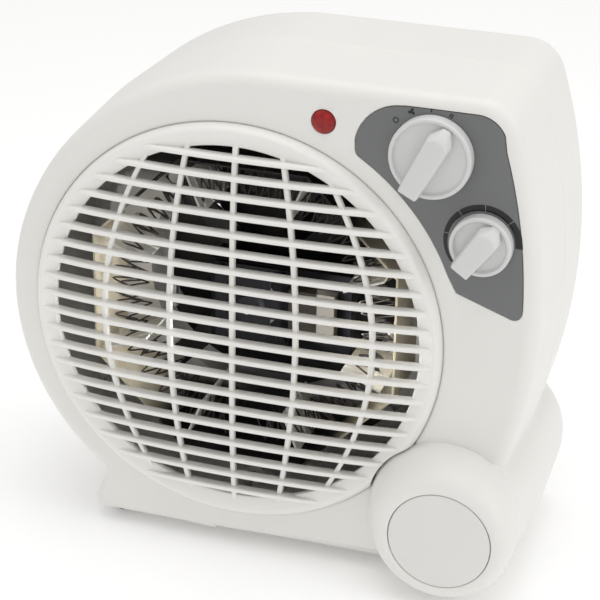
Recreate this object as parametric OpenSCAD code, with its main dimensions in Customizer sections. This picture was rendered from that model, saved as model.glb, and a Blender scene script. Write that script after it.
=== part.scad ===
// Upright fan heater with a round slatted outlet, two knobs and a rolled corner foot.
// Sizes are in millimetres. Depth runs along Y: the front faces -Y and +Z is up.
// Points named x and z are measured from the centre of the round outlet, on the front face.

/* [Housing] */
// Radius of the left side and of the belly, round the outlet's centre
side_r = 108; // [104:0.5:112]
// Height of the top above the outlet's centre
top_z = 117.5; // [114:0.5:124]
// Distance of the right side from the outlet's centre
right_x = 134.5; // [130:0.5:142]
// Depth of the housing from front face to back face
body_depth = 95; // [80:1:115]
// Depth of the seam between the front and rear shells
seam_y = 45; // [40:1:52]
// Wall thickness of both shells
wall = 2.4; // [1.8:0.1:3]
// Outward draft of the walls from the faces to the seam
draft = 1.8; // [0.5:0.1:2.5]
// Height of the table below the outlet's centre
ground_z = 113.6; // [112.6:0.1:118]

/* [Outlet grille] */
// Radius of the round outlet, at its shadow groove
outlet_r = 95; // [90:0.5:97]
// Number of level slats
slat_count = 20; // [16:2:24]
// Distance from slat to slat
slat_pitch = 8.45; // [6:0.05:8.6]
// Thickness of a slat
slat_t = 2.1; // [1.5:0.1:3]
// Depth of a slat from its front edge to its back edge
slat_depth = 5; // [3:0.5:6]
// Width of the upright ribs
rib_w = 2.4; // [1.5:0.1:4]
// How far the middle of the grille stands out
dome_h = 10.7; // [6:0.1:14]

/* [Corner foot] */
// Distance of the foot's axis to the right of the outlet's centre
foot_x = 98.7; // [96:0.1:104]
// Distance of the foot's axis below the outlet's centre
foot_drop = 74.7; // [73:0.1:75.5]
// Largest radius of the foot
foot_r = 36.4; // [32:0.2:37]
// How far the foot's nose stands out in front
nose = 21.5; // [12:0.5:26]
// How far the nose's front end leans to the right and down
nose_lean = 3; // [0:0.5:5]
// Radius of the round cap in the foot's nose
cap_r = 22.8; // [16:0.2:23.4]

/* [Controls] */
// Radius of the mode knob
mode_r = 17.6; // [15:0.1:18.6]
// Radius of the thermostat knob
thermo_r = 13.2; // [11:0.1:14.2]
// Height of the knobs' grips above the control plate
grip_h = 12; // [8:0.5:14]
// Radius of the round signal lamp
lamp_r = 5.2; // [3:0.1:6]
// Radius of the switch shafts
shaft_r = 3; // [2.5:0.1:3.5]
// Radial clearance of a shaft in its bush
running = 0.05; // [0.02:0.01:0.09]

/* [Fan and motor] */
// Radius over the blade tips
fan_r = 58; // [50:1:60]
// Number of blades
blade_count = 5; // [3:1:7]
// Radius of the motor shaft
axle_r = 1.6; // [1.5:0.1:2.5]
// Radius of the motor's rotor
rotor_r = 12; // [10:0.5:13]

/* [Heating element] */
// Distance of the flat sides of the eight-sided mica tube from its axis
tube_flat = 71; // [68:0.5:74]
// Depth of the mica tube
tube_depth = 36; // [30:1:40]
// Thickness of the mica sheets
mica_t = 1; // [0.6:0.1:1.5]
// Thickness of the heating wire
wire_t = 0.9; // [0.6:0.1:1.2]

/* [Cord inlet] */
// Radius of the bore for the supply cord
cord_bore_r = 3.9; // [3:0.1:4.5]

/* [Hidden] */

IVORY = "#e6e3dc";
GREY = "#6c6c6c";
KNOB = "#d8d8d6";
BLACK = "#161616";
MICA = "#b9ad8c";
STEEL = "#a9abad";
BRASS = "#c2a250";
COPPER = "#a8562f";

// ---- placing: the outlet's centre is lifted and centred over the base ----
nose_dome = 1.5;
gland_out = 3;
left_end = -side_r - draft;
right_end = max(right_x + draft, foot_x + foot_r);
front_end = -nose - nose_dome;
back_end = body_depth + gland_out;
origin = [-(left_end + right_end) / 2, -(front_end + back_end) / 2, ground_z];
foot_z = -foot_drop;

// ---- housing outline ----
edge_r = 6.5;
rib_recess = 2.5;
rim_recess = 3.6;
corner_r = 18;
top_arc_x = 13.3;
flank_r = 256;
flank_z = 24;
fit = 0.3;
groove = 0.7;

top_arc_r = (top_arc_x * top_arc_x + top_z * top_z - side_r * side_r) / (2 * (top_z - side_r));
top_arc_z = top_z - top_arc_r;
blend_a = atan2(-top_arc_z, -top_arc_x);
flank_x = right_x - flank_r;
corner_z = top_z - corner_r;
corner_x = flank_x + sqrt(pow(flank_r - corner_r, 2) - pow(corner_z - flank_z, 2));
corner_a = atan2(corner_z - flank_z, corner_x - flank_x);

// ---- depths of the inner pieces, front to back ----
plate_t = 1.2;
tube_y = 9;
motor_y = 24;
stator_t = 16;
duct_y = tube_y + tube_depth + 6;
duct_t = 2;
bridge_t = 2;
bridge_y = duct_y - bridge_t - 0.1;
fan_y = duct_y + 8;
fan_t = 15;
hub_r = 11;
bracket_t = 1.2;
bush_r = 4.5;

// ---- controls, set out from the right side and the top ----
mode_x = right_x - 48.7;
mode_z = top_z - 25.6;
thermo_x = right_x - 25.7;
thermo_z = top_z - 61.3;
lamp_x = 38.6;
lamp_z = top_z - 17.3;
mode_a = 27;
thermo_a = 35;

// ---- screws ----
case_screws_at = [[-92, 45], [-80, -62], [-6, -101.5], [52, top_z - 13.5],
    [right_x - 13.5, top_z - 29.5], [right_x - 12.5, 0]];
post_r = 5;
screw_r = 1.5;
screw_head_r = 3.2;
screw_head_t = 2;
screw_grip = 6;
thread_gap = 0.02;

// ---- rubber feet, set out as [x, y]; they taper towards the table ----
foot_pad_r = 4.5;
foot_pad_taper = 2;
base_gap = ground_z - side_r;
plain_feet = [[-61.5, 15], [-61.5, body_depth - 15], [34, body_depth - 17]];
nose_pad_y = [5.5, body_depth - 14];
nose_pad_r = 3.2;
nose_pad_h = 8;
socket_depth = 1.2;

// ================= helpers =================

// Points along an arc from angle a0 to a1
function arc(x, z, r, a0, a1, n) =
    [for (i = [0 : n]) let (a = a0 + (a1 - a0) * i / n) [x + r * cos(a), z + r * sin(a)]];

// The housing's front outline, grown by g
function outline(g) = concat(
    arc(0, 0, side_r + g, 270, blend_a, 18),
    arc(top_arc_x, top_arc_z, top_arc_r + g, blend_a - 5, 90, 10),
    arc(corner_x, corner_z, corner_r + g, 90, corner_a, 6),
    arc(flank_x, flank_z, flank_r + g, corner_a - 4,
        asin((-side_r - g - flank_z) / (flank_r + g)), 8));

// How far the grille stands out at radius r
function dome(r) = dome_h * (1 - 0.2 * pow(r / outlet_r, 2) - 0.449 * pow(r / outlet_r, 4));

// Centre line of an upright rib that crosses the middle at x0
function rib_x(x0, z) = x0 * (1 - (0.2 + 0.5 * abs(x0) / outlet_r) * pow(z / outlet_r, 2));

// Stretches a front outline from depth y0 back to depth y1
module slab(y0, y1) {
    translate([0, y1, 0]) rotate([90, 0, 0]) linear_extrude(height = y1 - y0) children();
}

// A round bar along Y
module bar(x, z, r, y0, y1, sides = 48) {
    translate([x, y1, z]) rotate([90, 0, 0]) cylinder(r = r, h = y1 - y0, $fn = sides);
}

// A [radius, depth] profile turned round a front-to-back axis
module turned(x, z, profile, sides = 96) {
    translate([x, 0, z]) rotate([90, 0, 0])
        rotate_extrude($fn = sides) polygon([for (p = profile) [p[0], -p[1]]]);
}

// A ring round a front-to-back axis
module ring(x, z, r_out, r_in, y0, y1) {
    turned(x, z, [[r_in, y0], [r_out, y0], [r_out, y1], [r_in, y1]]);
}

// A box between two corners
module block(low, high) {
    translate(low) cube(high - low);
}

module placed() {
    translate(origin) children();
}

// ================= housing =================

// Rounded front half of the housing, grown by g, from depth y0 to the seam
module front_form(g, y0, round_r) {
    hull() {
        for (i = [0 : 4]) {
            y = y0 + round_r * (1 - sin(22.5 * i));
            slab(y, y + 0.02) polygon(outline(g - round_r * (1 - cos(22.5 * i))));
        }
        slab(seam_y - 0.02, seam_y) polygon(outline(g + draft));
    }
}

// Rounded rear half of the housing
module rear_form(g, y1, round_r) {
    hull() {
        for (i = [0 : 4]) {
            y = y1 - round_r * (1 - sin(22.5 * i));
            slab(y - 0.02, y) polygon(outline(g - round_r * (1 - cos(22.5 * i))));
        }
        slab(seam_y, seam_y + 0.02) polygon(outline(g + draft));
    }
}

// Outline of the heel that flares out below the left side
module heel_outline() {
    polygon(concat([[-10, -side_r], [-20, -80], [-64, -85]],
        arc(-65, -side_r + 5.4, 5.4, 150, 270, 6)));
}

foot_waist = 2.2;
foot_front = [[0, 0], [foot_r - foot_waist, 0], [foot_r - 0.6, 15], [foot_r, seam_y], [0, seam_y]];
foot_rear = [[0, seam_y], [foot_r, seam_y], [foot_r - 1.4, body_depth - 6],
    [foot_r - 2.6, body_depth - 2], [foot_r - 5, body_depth], [0, body_depth]];
foot_hollow_front = [[0, wall], [foot_r - foot_waist - wall, wall], [foot_r - wall, seam_y + 1],
    [0, seam_y + 1]];
foot_hollow_rear = [[0, seam_y - 1], [foot_r - wall, seam_y - 1],
    [foot_r - 1.4 - wall, body_depth - 6], [foot_r - 5 - wall, body_depth - wall],
    [0, body_depth - wall]];

// Places at which a rubber foot sits in the base
module foot_sockets() {
    for (p = plain_feet)
        translate([p[0], p[1], -side_r - 3])
            cylinder(r = foot_pad_r, h = 3 + socket_depth, $fn = 48);
    for (y = nose_pad_y)
        translate([foot_x, y, -ground_z]) cylinder(r = nose_pad_r, h = nose_pad_h, $fn = 48);
}

// Pads of wall round the sockets, so that the base stays closed
module socket_backs() {
    for (p = plain_feet)
        translate([p[0], p[1], -side_r + 0.4]) cylinder(r = foot_pad_r + 2, h = 3.6, $fn = 48);
    for (y = nose_pad_y)
        translate([foot_x, y, foot_z - foot_r + 1.5])
            cylinder(r = nose_pad_r + 2, h = 7.5, $fn = 48);
}

// Outline of the grey plate, shrunk by g
module plate_outline(g) {
    inner_r = 102.2 + g;
    edge = flank_r - 7 - g;
    polygon(concat(
        arc(0, 0, inner_r, 22.5, 57.6, 10),
        arc(right_x - 77.4, 90.3, 4.7 - g, 226, 174, 4),
        arc(right_x - 62, top_z - 26.5, 20.5 - g, 171, 100, 6),
        [[right_x - 60.5, top_z - 5.8 - g]],
        arc(right_x - 31, top_z - 19, 13.2 - g, 90, 24, 6),
        arc(flank_x, flank_z, edge, 17, 1, 6),
        arc(right_x - 10.9, 26.6, 3.8 - g, -10, -108, 4),
        [[right_x - 36 + g, 31.5 + g]]));
}

// Front half of the housing
module front_shell() {
    color(IVORY) placed() difference() {
        union() {
            difference() {
                union() {
                    front_form(0, 0, edge_r);
                    slab(2, seam_y) heel_outline();
                    turned(foot_x, foot_z, foot_front);
                }
                front_form(-wall, wall, edge_r - wall);
                turned(foot_x, foot_z, foot_hollow_front);
            }
            intersection() {
                union() {
                    ring(0, 0, outlet_r + groove + wall, outlet_r - 6, wall - 0.1, 8);
                    for (p = case_screws_at) bar(p[0], p[1], post_r, 1, seam_y);
                    socket_backs();
                }
                union() {
                    front_form(-0.5, 0.5, edge_r);
                    turned(foot_x, foot_z, foot_front);
                }
            }
        }
        difference() {
            turned(0, 0, [[0, -1], [outlet_r + groove, -1], [outlet_r + groove, 3.4],
                [outlet_r - 3, 3.4], [outlet_r - 3, seam_y], [0, seam_y]]);
            bar(foot_x, foot_z, foot_r - foot_waist, -2, wall, 96);
        }
        slab(-1, plate_t) plate_outline(0);
        bar(mode_x, mode_z, shaft_r + 2.5, -1, 12);
        bar(thermo_x, thermo_z, shaft_r + 2.5, -1, 12);
        bar(lamp_x, lamp_z, lamp_r + 0.1, -1, 12);
        for (p = case_screws_at) bar(p[0], p[1], screw_r + thread_gap, seam_y - 12, seam_y + 1);
        foot_sockets();
    }
}

intake_r = 62;
intake_slot = 4;
intake_pitch = 8;
gland_x = 96;
gland_z = -62;
cord_hole_r = 7;
duct_posts_at = [[-58, 58], [58, 58], [-58, -58], [58, -58]];

// Level slots of the air intake
module intake_slots() {
    intersection() {
        bar(0, 0, intake_r, body_depth - wall - 3, body_depth + 1, 96);
        union() for (i = [-7 : 7])
            block([-intake_r, body_depth - wall - 3, i * intake_pitch - intake_slot / 2],
                [intake_r, body_depth + 1, i * intake_pitch + intake_slot / 2]);
    }
}

// Rear half of the housing
module rear_shell() {
    color(IVORY) placed() difference() {
        union() {
            difference() {
                union() {
                    rear_form(0, body_depth, edge_r);
                    slab(seam_y, body_depth - 2) heel_outline();
                    turned(foot_x, foot_z, foot_rear);
                }
                rear_form(-wall, body_depth - wall, edge_r - wall);
                turned(foot_x, foot_z, foot_hollow_rear);
            }
            intersection() {
                union() {
                    for (p = case_screws_at) bar(p[0], p[1], post_r, seam_y, body_depth - 1);
                    for (p = duct_posts_at) bar(p[0], p[1], 4, duct_y + duct_t, body_depth - 1);
                    socket_backs();
                }
                union() {
                    rear_form(-0.5, body_depth - 0.5, edge_r);
                    turned(foot_x, foot_z, foot_rear);
                }
            }
            for (x = [-30, 0, 30])
                block([x - 1.5, body_depth - wall, -intake_r], [x + 1.5, body_depth, intake_r]);
        }
        difference() {
            intake_slots();
            for (x = [-30, 0, 30])
                block([x - 1.5, body_depth - wall - 4, -intake_r],
                    [x + 1.5, body_depth + 2, intake_r]);
        }
        for (p = case_screws_at) {
            bar(p[0], p[1], screw_head_r + fit, seam_y + screw_grip, body_depth + 1);
            bar(p[0], p[1], screw_r + 0.3, seam_y - 1, body_depth);
        }
        for (p = duct_posts_at) bar(p[0], p[1], screw_r + thread_gap, duct_y, duct_y + 14);
        bar(gland_x, gland_z, cord_hole_r, body_depth - wall - 1, body_depth + 1);
        foot_sockets();
    }
}

// The grille's domed space out to radius r_end, from a recess behind its front down to its back
module dome_body(r_end, recess) {
    turned(0, 0, concat(
        [for (i = [0 : 12]) let (r = r_end * i / 12) [r, recess - dome(r)]],
        [for (i = [12 : -1 : 0]) let (r = r_end * i / 12) [r, slat_depth - dome(r)]]));
}

// Domed outlet grille: level slats in front, bent upright ribs behind their front edges, and a
// rim that slopes back between the slats
module outlet_grille() {
    rim_in = outlet_r * 0.89;
    rim_top = outlet_r * 0.955;
    rim_out = outlet_r - 0.8;
    color(IVORY) placed() difference() {
        union() {
            intersection() {
                dome_body(rim_top + 0.5, 0);
                for (i = [0 : slat_count - 1]) {
                    z = (i - (slat_count - 1) / 2) * slat_pitch;
                    block([-outlet_r, -20, z - slat_t / 2], [outlet_r, 9, z + slat_t / 2]);
                }
            }
            intersection() {
                dome_body(rim_in + 3, rib_recess);
                for (x0 = [-0.627, -0.298, 0.012, 0.318, 0.678] * outlet_r)
                    slab(-20, 9) polygon(concat(
                        [for (i = [-8 : 8]) [rib_x(x0, i * 11) - rib_w / 2, i * 11]],
                        [for (i = [8 : -1 : -8]) [rib_x(x0, i * 11) + rib_w / 2, i * 11]]));
            }
            turned(0, 0, [[rim_in, rim_recess - dome(rim_in)], [rim_top, 0.2 - dome(rim_top)],
                [rim_out - 1.8, 0.5 - dome(rim_out - 1.8)], [rim_out - 0.6, -2.8],
                [rim_out, -0.6], [rim_out, 3.3], [rim_out - 4.2, 3.3],
                [rim_in, slat_depth + 1.4 - dome(rim_in)]]);
            ring(0, 0, outlet_r - 3.4, outlet_r - 5, 3, 10);
        }
        turned(foot_x, foot_z, [[0, -30], [foot_r - 1.5, -30], [foot_r - 1.5, 0],
            [foot_r + 0.2, 20], [0, 20]]);
    }
}

// Leans what stands in front of the front face to the right and down
module leaned() {
    lean = nose_lean / nose;
    multmatrix([[1, -lean, 0, 0], [0, 1, 0, 0], [0, lean, 1, 0]]) children();
}

// Rounded nose of the corner foot
module foot_nose() {
    outer = concat([[cap_r + 0.5, -nose]],
        [for (i = [0 : 8]) [25 + (foot_r - 27.6) * sin(i * 11.25), -1 - (nose - 1) * cos(i * 11.25)]],
        [[foot_r - 2.6, -0.1]]);
    inner = [[foot_r - 2.6 - wall, -0.1], [foot_r - 4.8 - wall, -8], [24, -nose + 4.2],
        [cap_r - 3, -nose + 4.2], [cap_r - 3, -nose + 2.2], [cap_r + 0.5, -nose + 2.2]];
    color(IVORY) placed() leaned() turned(foot_x, foot_z, concat(outer, inner), 64);
}

// Slightly domed round cap in the nose
module foot_cap() {
    color(IVORY) placed() leaned() turned(foot_x, foot_z, concat(
        [[0, -nose + 2.2], [0, -nose - nose_dome]],
        [for (i = [1 : 5]) [cap_r * i / 6, -nose - nose_dome * (1 - pow(i / 6, 2))]],
        [[cap_r, -nose + 0.1], [cap_r, -nose + 2.2]]));
}

// ================= controls =================

module control_plate() {
    color(GREY) placed() difference() {
        slab(0.1, plate_t) plate_outline(fit);
        bar(mode_x, mode_z, shaft_r + 1.5, -1, 3);
        bar(thermo_x, thermo_z, shaft_r + 1.5, -1, 3);
    }
}

// A round knob with a raised rim and a pointed grip bar, pointing at angle a from upright
module knob(x, z, r, a) {
    rim = [[0, -4.3], [r - 2.6, -4.3], [r - 1.9, -6], [r - 0.5, -6], [r, -5.3], [r, -fit], [0, -fit]];
    tail = 4.55;
    w = 5.3;
    difference() {
        union() {
            turned(x, z, rim);
            translate([x, 0, z]) rotate([0, a, 0]) slab(-grip_h, -2)
                polygon([[-tail, -r * 0.97], [tail, -r * 0.97], [w, r * 0.55],
                    [1.6, r * 0.88], [-1.6, r * 0.88], [-w, r * 0.55]]);
        }
        bar(x, z, shaft_r + 0.01, -7, 1);
    }
}

module mode_knob() {
    color(KNOB) placed() knob(mode_x, mode_z, mode_r, mode_a);
}

module thermostat_knob() {
    color(KNOB) placed() knob(thermo_x, thermo_z, thermo_r, thermo_a);
}

switch_y = 5;

// A control's spindle, with a flange inside its body
module spindle(x, z, flange_r, y_end) {
    bar(x, z, shaft_r, -6.8, y_end);
    bar(x, z, flange_r, switch_y + 4, switch_y + 7);
}

// A control's body: a box with a threaded bush and a round chamber for the spindle
module control_body(x, z, w, h, depth, flange_r) {
    difference() {
        union() {
            block([x - w / 2, switch_y, z - h / 2], [x + w / 2, switch_y + depth, z + h / 2]);
            bar(x, z, shaft_r + 2.2, wall + 0.1, switch_y + 1);
        }
        bar(x, z, shaft_r + running, 0, switch_y + depth - 2);
        bar(x, z, flange_r + fit, switch_y + 3.5, switch_y + 7.5);
    }
}

module mode_spindle() {
    color(STEEL) placed() spindle(mode_x, mode_z, 8, switch_y + 16);
}

module mode_switch_body() {
    color(BLACK) placed() control_body(mode_x, mode_z, 26, 26, 20, 8);
}

module thermostat_spindle() {
    color(BRASS) placed() spindle(thermo_x, thermo_z, 6, switch_y + 10);
}

module thermostat_body() {
    color(KNOB) placed() control_body(thermo_x, thermo_z, 24, 24, 13, 6);
}

// Six-sided nut that holds a control against the shell
module bush_nut(x, z) {
    difference() {
        bar(x, z, shaft_r + 4, wall + 0.1, switch_y - 0.1, 6);
        bar(x, z, shaft_r + 2.25, wall, switch_y);
    }
}

module mode_switch_nut() {
    color(STEEL) placed() bush_nut(mode_x, mode_z);
}

module thermostat_nut() {
    color(STEEL) placed() bush_nut(thermo_x, thermo_z);
}

// Bimetal blade and contact blade stacked behind the thermostat
module thermostat_contacts() {
    y0 = switch_y + 13.1;
    color(BRASS) placed() {
        block([thermo_x - 4, y0, thermo_z - 10], [thermo_x + 4, y0 + 6, thermo_z - 4]);
        block([thermo_x - 3.5, y0 + 1, thermo_z - 4.5], [thermo_x + 3.5, y0 + 1.6, thermo_z + 11]);
        block([thermo_x - 3.5, y0 + 4, thermo_z - 4.5], [thermo_x + 3.5, y0 + 4.8, thermo_z + 11]);
        bar(thermo_x, thermo_z + 8, 1.5, y0 + 1.5, y0 + 4.1);
    }
}

module lamp_lens() {
    color("#8f1f22") placed() turned(lamp_x, lamp_z, [[0, -1.6], [lamp_r * 0.5, -1.4],
        [lamp_r * 0.85, -0.8], [lamp_r - 0.05, 0], [lamp_r - 0.05, 4], [lamp_r - 1.2, 4],
        [lamp_r - 1.2, 0.4], [0, -0.4]]);
}

module lamp_holder() {
    color(BLACK) placed() difference() {
        bar(lamp_x, lamp_z, lamp_r + 2, 4.1, 16);
        bar(lamp_x, lamp_z, lamp_r - 1.5, 3, 12);
    }
}

module neon_lamp() {
    color("#e7a07a") placed() {
        bar(lamp_x, lamp_z, 2, 1.5, 11.9);
    }
}

// ================= fan and motor =================

stator_w = 46;
stator_low = -20;
stator_high = 20;
core_end = 40;

// A blade as a tilted strip, swept out from the hub
module blade(a) {
    rotate([0, a, 0]) intersection() {
        translate([0, fan_y + fan_t / 2, 0]) rotate([0, 0, 32])
            block([-13, -0.8, hub_r - 1.5], [13, 0.8, fan_r + 4]);
        bar(0, 0, fan_r, fan_y, fan_y + fan_t, 96);
    }
}

module fan_impeller() {
    color(BLACK) placed() difference() {
        union() {
            turned(0, 0, [[0, fan_y], [hub_r, fan_y], [hub_r, fan_y + fan_t],
                [hub_r - 2, fan_y + fan_t], [hub_r - 2, fan_y + 3], [0, fan_y + 3]]);
            bar(0, 0, 4.5, fan_y + 1, fan_y + fan_t);
            for (i = [0 : blade_count - 1]) blade(i * 360 / blade_count);
        }
        bar(0, 0, axle_r + 0.01, fan_y - 1, fan_y + fan_t + 1);
    }
}

shaft_front = motor_y - 9;
shaft_back = fan_y + fan_t + 3;

// Spring clip that keeps the impeller on the shaft
module fan_clip() {
    color(STEEL) placed() ring(0, 0, 3.6, axle_r + 0.01, fan_y + fan_t + 0.1, fan_y + fan_t + 1.3);
}

module motor_shaft() {
    color(STEEL) placed() bar(0, 0, axle_r, shaft_front, shaft_back);
}

module motor_rotor() {
    color(STEEL) placed() ring(0, 0, rotor_r, axle_r + 0.01, motor_y, motor_y + stator_t);
}

// Stacked iron frame: a ring round the rotor and a long leg that carries the coil
module motor_stator() {
    color("#5c5f63") placed() difference() {
        slab(motor_y, motor_y + stator_t) polygon([[-20, stator_low], [core_end + 6, stator_low],
            [core_end + 6, stator_high], [-20, stator_high]]);
        bar(0, 0, rotor_r + 0.4, motor_y - 1, motor_y + stator_t + 1, 64);
        block([18, motor_y - 1, -12], [33, motor_y + stator_t + 1, -5]);
        block([18, motor_y - 1, 5], [33, motor_y + stator_t + 1, 12]);
        block([33, motor_y - 1, -12], [40, motor_y + stator_t + 1, -5]);
        block([33, motor_y - 1, 5], [40, motor_y + stator_t + 1, 12]);
        for (z = [-15.5, 15.5], x = [-14, 14])
            bar(x, z, 1.6, motor_y - 1, motor_y + stator_t + 1);
    }
}

// Winding on the middle leg of the stator
module motor_coil() {
    color(COPPER) placed() difference() {
        block([18.4, motor_y - 5, -11.6], [39.6, motor_y + stator_t + 5, 11.6]);
        block([17, motor_y - 0.3, -5.3], [41, motor_y + stator_t + 0.3, 5.3]);
    }
}

// Cross strap with a bearing cup
module motor_bracket(y0, cup_y0, cup_y1) {
    difference() {
        union() {
            slab(y0, y0 + bracket_t) polygon([[-17.5, -19], [17.5, -19], [17.5, 19], [-17.5, 19]]);
            bar(0, 0, bush_r + 1.5, cup_y0, cup_y1);
        }
        bar(0, 0, bush_r + 0.01, cup_y0 - 1, cup_y1 + 1);
        for (z = [-15.5, 15.5], x = [-14, 14])
            bar(x, z, 1.6, y0 - 1, y0 + bracket_t + 1);
        for (s = [-1, 1])
            block([8.5, y0 - 1, s * 9 - 3], [19, y0 + bracket_t + 1, s * 9 + 3]);
    }
}

front_bracket_y = motor_y - bracket_t - 0.3;
rear_bracket_y = motor_y + stator_t + 0.3;

module motor_front_bracket() {
    color(STEEL) placed() motor_bracket(front_bracket_y, front_bracket_y - 5, front_bracket_y + 1);
}

module motor_rear_bracket() {
    color(STEEL) placed() motor_bracket(rear_bracket_y, rear_bracket_y, rear_bracket_y + 6);
}

// Sintered bushes that the motor shaft runs in
module motor_bushes() {
    color(BRASS) placed() {
        ring(0, 0, bush_r, axle_r + running, front_bracket_y - 5, front_bracket_y + 1);
        ring(0, 0, bush_r, axle_r + running, rear_bracket_y + 0.2, rear_bracket_y + 6);
    }
}

module motor_screws() {
    color(STEEL) placed() for (z = [-15.5, 15.5], x = [-14, 14]) {
        bar(x, z, 1.5, front_bracket_y - 0.1, bridge_y + bridge_t + 1, 24);
        bar(x, z, 2.8, front_bracket_y - 2, front_bracket_y, 24);
    }
}

duct_out_r = 84;

mouth_r = fan_r + 2;
bridge_end = mouth_r + 8;
bridge_screws_at = [for (a = [45, 135, 225, 315]) (mouth_r + 5) * [cos(a), sin(a)]];

// Pale plate with a round mouth for the fan
module fan_duct() {
    color(IVORY) placed() difference() {
        union() {
            ring(0, 0, duct_out_r, mouth_r, duct_y, duct_y + duct_t);
            ring(0, 0, mouth_r + 1.8, mouth_r, duct_y, fan_y + fan_t);
        }
        for (p = duct_posts_at) bar(p[0], p[1], screw_r + 0.3, duct_y - 1, duct_y + duct_t + 1);
        for (p = bridge_screws_at)
            bar(p[0], p[1], screw_r + thread_gap, duct_y - 1, duct_y + duct_t + 1);
        bar(foot_x, foot_z, foot_r + 2, duct_y - 1, duct_y + duct_t + 1);
    }
}

// Black cross that carries the motor in the middle of the duct's mouth
module motor_bridge() {
    color(BLACK) placed() difference() {
        union() {
            slab(bridge_y, bridge_y + bridge_t) union() {
                for (a = [45, 135, 225, 315]) rotate(a)
                    translate([18, -5]) square([bridge_end - 18, 10]);
                square([44, 44], center = true);
            }
            for (z = [-15.5, 15.5], x = [-14, 14])
                bar(x, z, 3, rear_bracket_y + bracket_t + 0.1, bridge_y + 1);
        }
        bar(0, 0, 8, bridge_y - 1, bridge_y + bridge_t + 1);
        for (z = [-15.5, 15.5], x = [-14, 14])
            bar(x, z, 1.52, rear_bracket_y, bridge_y + bridge_t + 1);
        for (p = bridge_screws_at)
            bar(p[0], p[1], screw_r + 0.3, bridge_y - 1, bridge_y + bridge_t + 1);
    }
}

// A screw whose head rests at depth y
module duct_screw(p, y) {
    bar(p[0], p[1], screw_r, y, y + 10.1, 24);
    bar(p[0], p[1], screw_head_r, y - screw_head_t, y, 24);
}

module duct_screws() {
    color(STEEL) placed() {
        for (p = duct_posts_at) duct_screw(p, duct_y - 0.1);
        for (p = bridge_screws_at) duct_screw(p, bridge_y - 0.1);
    }
}

// ================= heating element =================

// Corner distance of an eight-sided tube from the distance of its flats
function octagon_r(flat) = flat / cos(22.5);

module octagon(flat) {
    polygon([for (i = [0 : 7]) octagon_r(flat) * [cos(22.5 + 45 * i), sin(22.5 + 45 * i)]]);
}

// Eight-sided tube of mica sheets
module mica_tube() {
    color(MICA) placed() slab(tube_y, tube_y + tube_depth) difference() {
        octagon(tube_flat);
        octagon(tube_flat - mica_t);
    }
}

wire_rows = [tube_y + 6, tube_y + 15, tube_y + 24];
wire_in = 54;
wire_out = 64.5;
wire_teeth = 64;
wire_from = -84;
wire_to = 264;
comb_in = 50;
tooth_step = (wire_to - wire_from) / wire_teeth / 2;
tooth_lean = atan2(wire_in * sin(tooth_step), wire_out - wire_in);
wire_tip = wire_t / 2 / sin(tooth_lean);

// Radial mica combs that carry the wire in their notches
module mica_combs() {
    color(MICA) placed() for (i = [0 : 7]) rotate([0, 45 * i + 22.5, 0]) difference() {
        block([-mica_t / 2, tube_y + 1, comb_in],
            [mica_t / 2, tube_y + tube_depth - 1, tube_flat - mica_t - 0.3]);
        for (y = wire_rows)
            block([-2, y - wire_t / 2 - 0.3, comb_in - 1],
                [2, y + wire_t / 2 + 0.3, wire_out + wire_tip + 0.4]);
    }
}

// Crimped wire: a zigzag ribbon that runs round the tube in one plane
module crimped_ring(y) {
    function spot(i, side) = let (a = wire_from + tooth_step * i,
        r = (i % 2 == 0 ? wire_in : wire_out) + side * wire_tip) [r * cos(a), r * sin(a)];
    slab(y - wire_t / 2, y + wire_t / 2) polygon(concat(
        [for (i = [0 : 2 * wire_teeth]) spot(i, 1)],
        [for (i = [2 * wire_teeth : -1 : 0]) spot(i, -1)]));
}

module heating_wire_low() {
    color(STEEL) placed() crimped_ring(wire_rows[0]);
}

module heating_wire_high() {
    color(STEEL) placed() {
        crimped_ring(wire_rows[1]);
        crimped_ring(wire_rows[2]);
    }
}

// Folded lugs that hold the mica tube to the duct
module element_lugs() {
    y1 = duct_y - 0.1;
    color(STEEL) placed() for (i = [0 : 3]) rotate([0, 90 * i, 0]) {
        block([-5, tube_y + tube_depth - 8, tube_flat + 0.1], [5, y1, tube_flat + 0.9]);
        block([-5, y1 - 0.8, tube_flat + 0.1], [5, y1, tube_flat + 9]);
    }
}

// Bimetal cut-out on a small bracket in the air stream
module thermal_cutout() {
    y0 = tube_y + 29;
    color(BLACK) placed() {
        bar(-33, 40, 7, y0, y0 + 8);
        block([-44, y0 + 2, 39], [-22, y0 + 3, 41]);
    }
}

module thermal_fuse() {
    color(STEEL) placed() translate([-45, tube_y + 33, -16])
        cylinder(r = 2, h = 12, $fn = 32);
}

// ================= supply and wiring =================

module cord_gland() {
    color(BLACK) placed() turned(gland_x, gland_z, [
        [cord_bore_r, body_depth - 10], [cord_hole_r + 1.6, body_depth - 10],
        [cord_hole_r + 1.6, body_depth - wall - 0.1], [cord_hole_r - 0.05, body_depth - wall - 0.1],
        [cord_hole_r - 0.05, body_depth + 0.1], [cord_hole_r + 1.6, body_depth + 0.1],
        [cord_hole_r + 1.2, body_depth + gland_out], [cord_bore_r, body_depth + gland_out]]);
}

module terminal_block() {
    color("#d9d4c4") placed() difference() {
        block([88, 64, -40], [112, 76, -26]);
        for (x = [94, 106]) translate([x, 70, -41]) cylinder(r = 2, h = 16, $fn = 32);
    }
}

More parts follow.
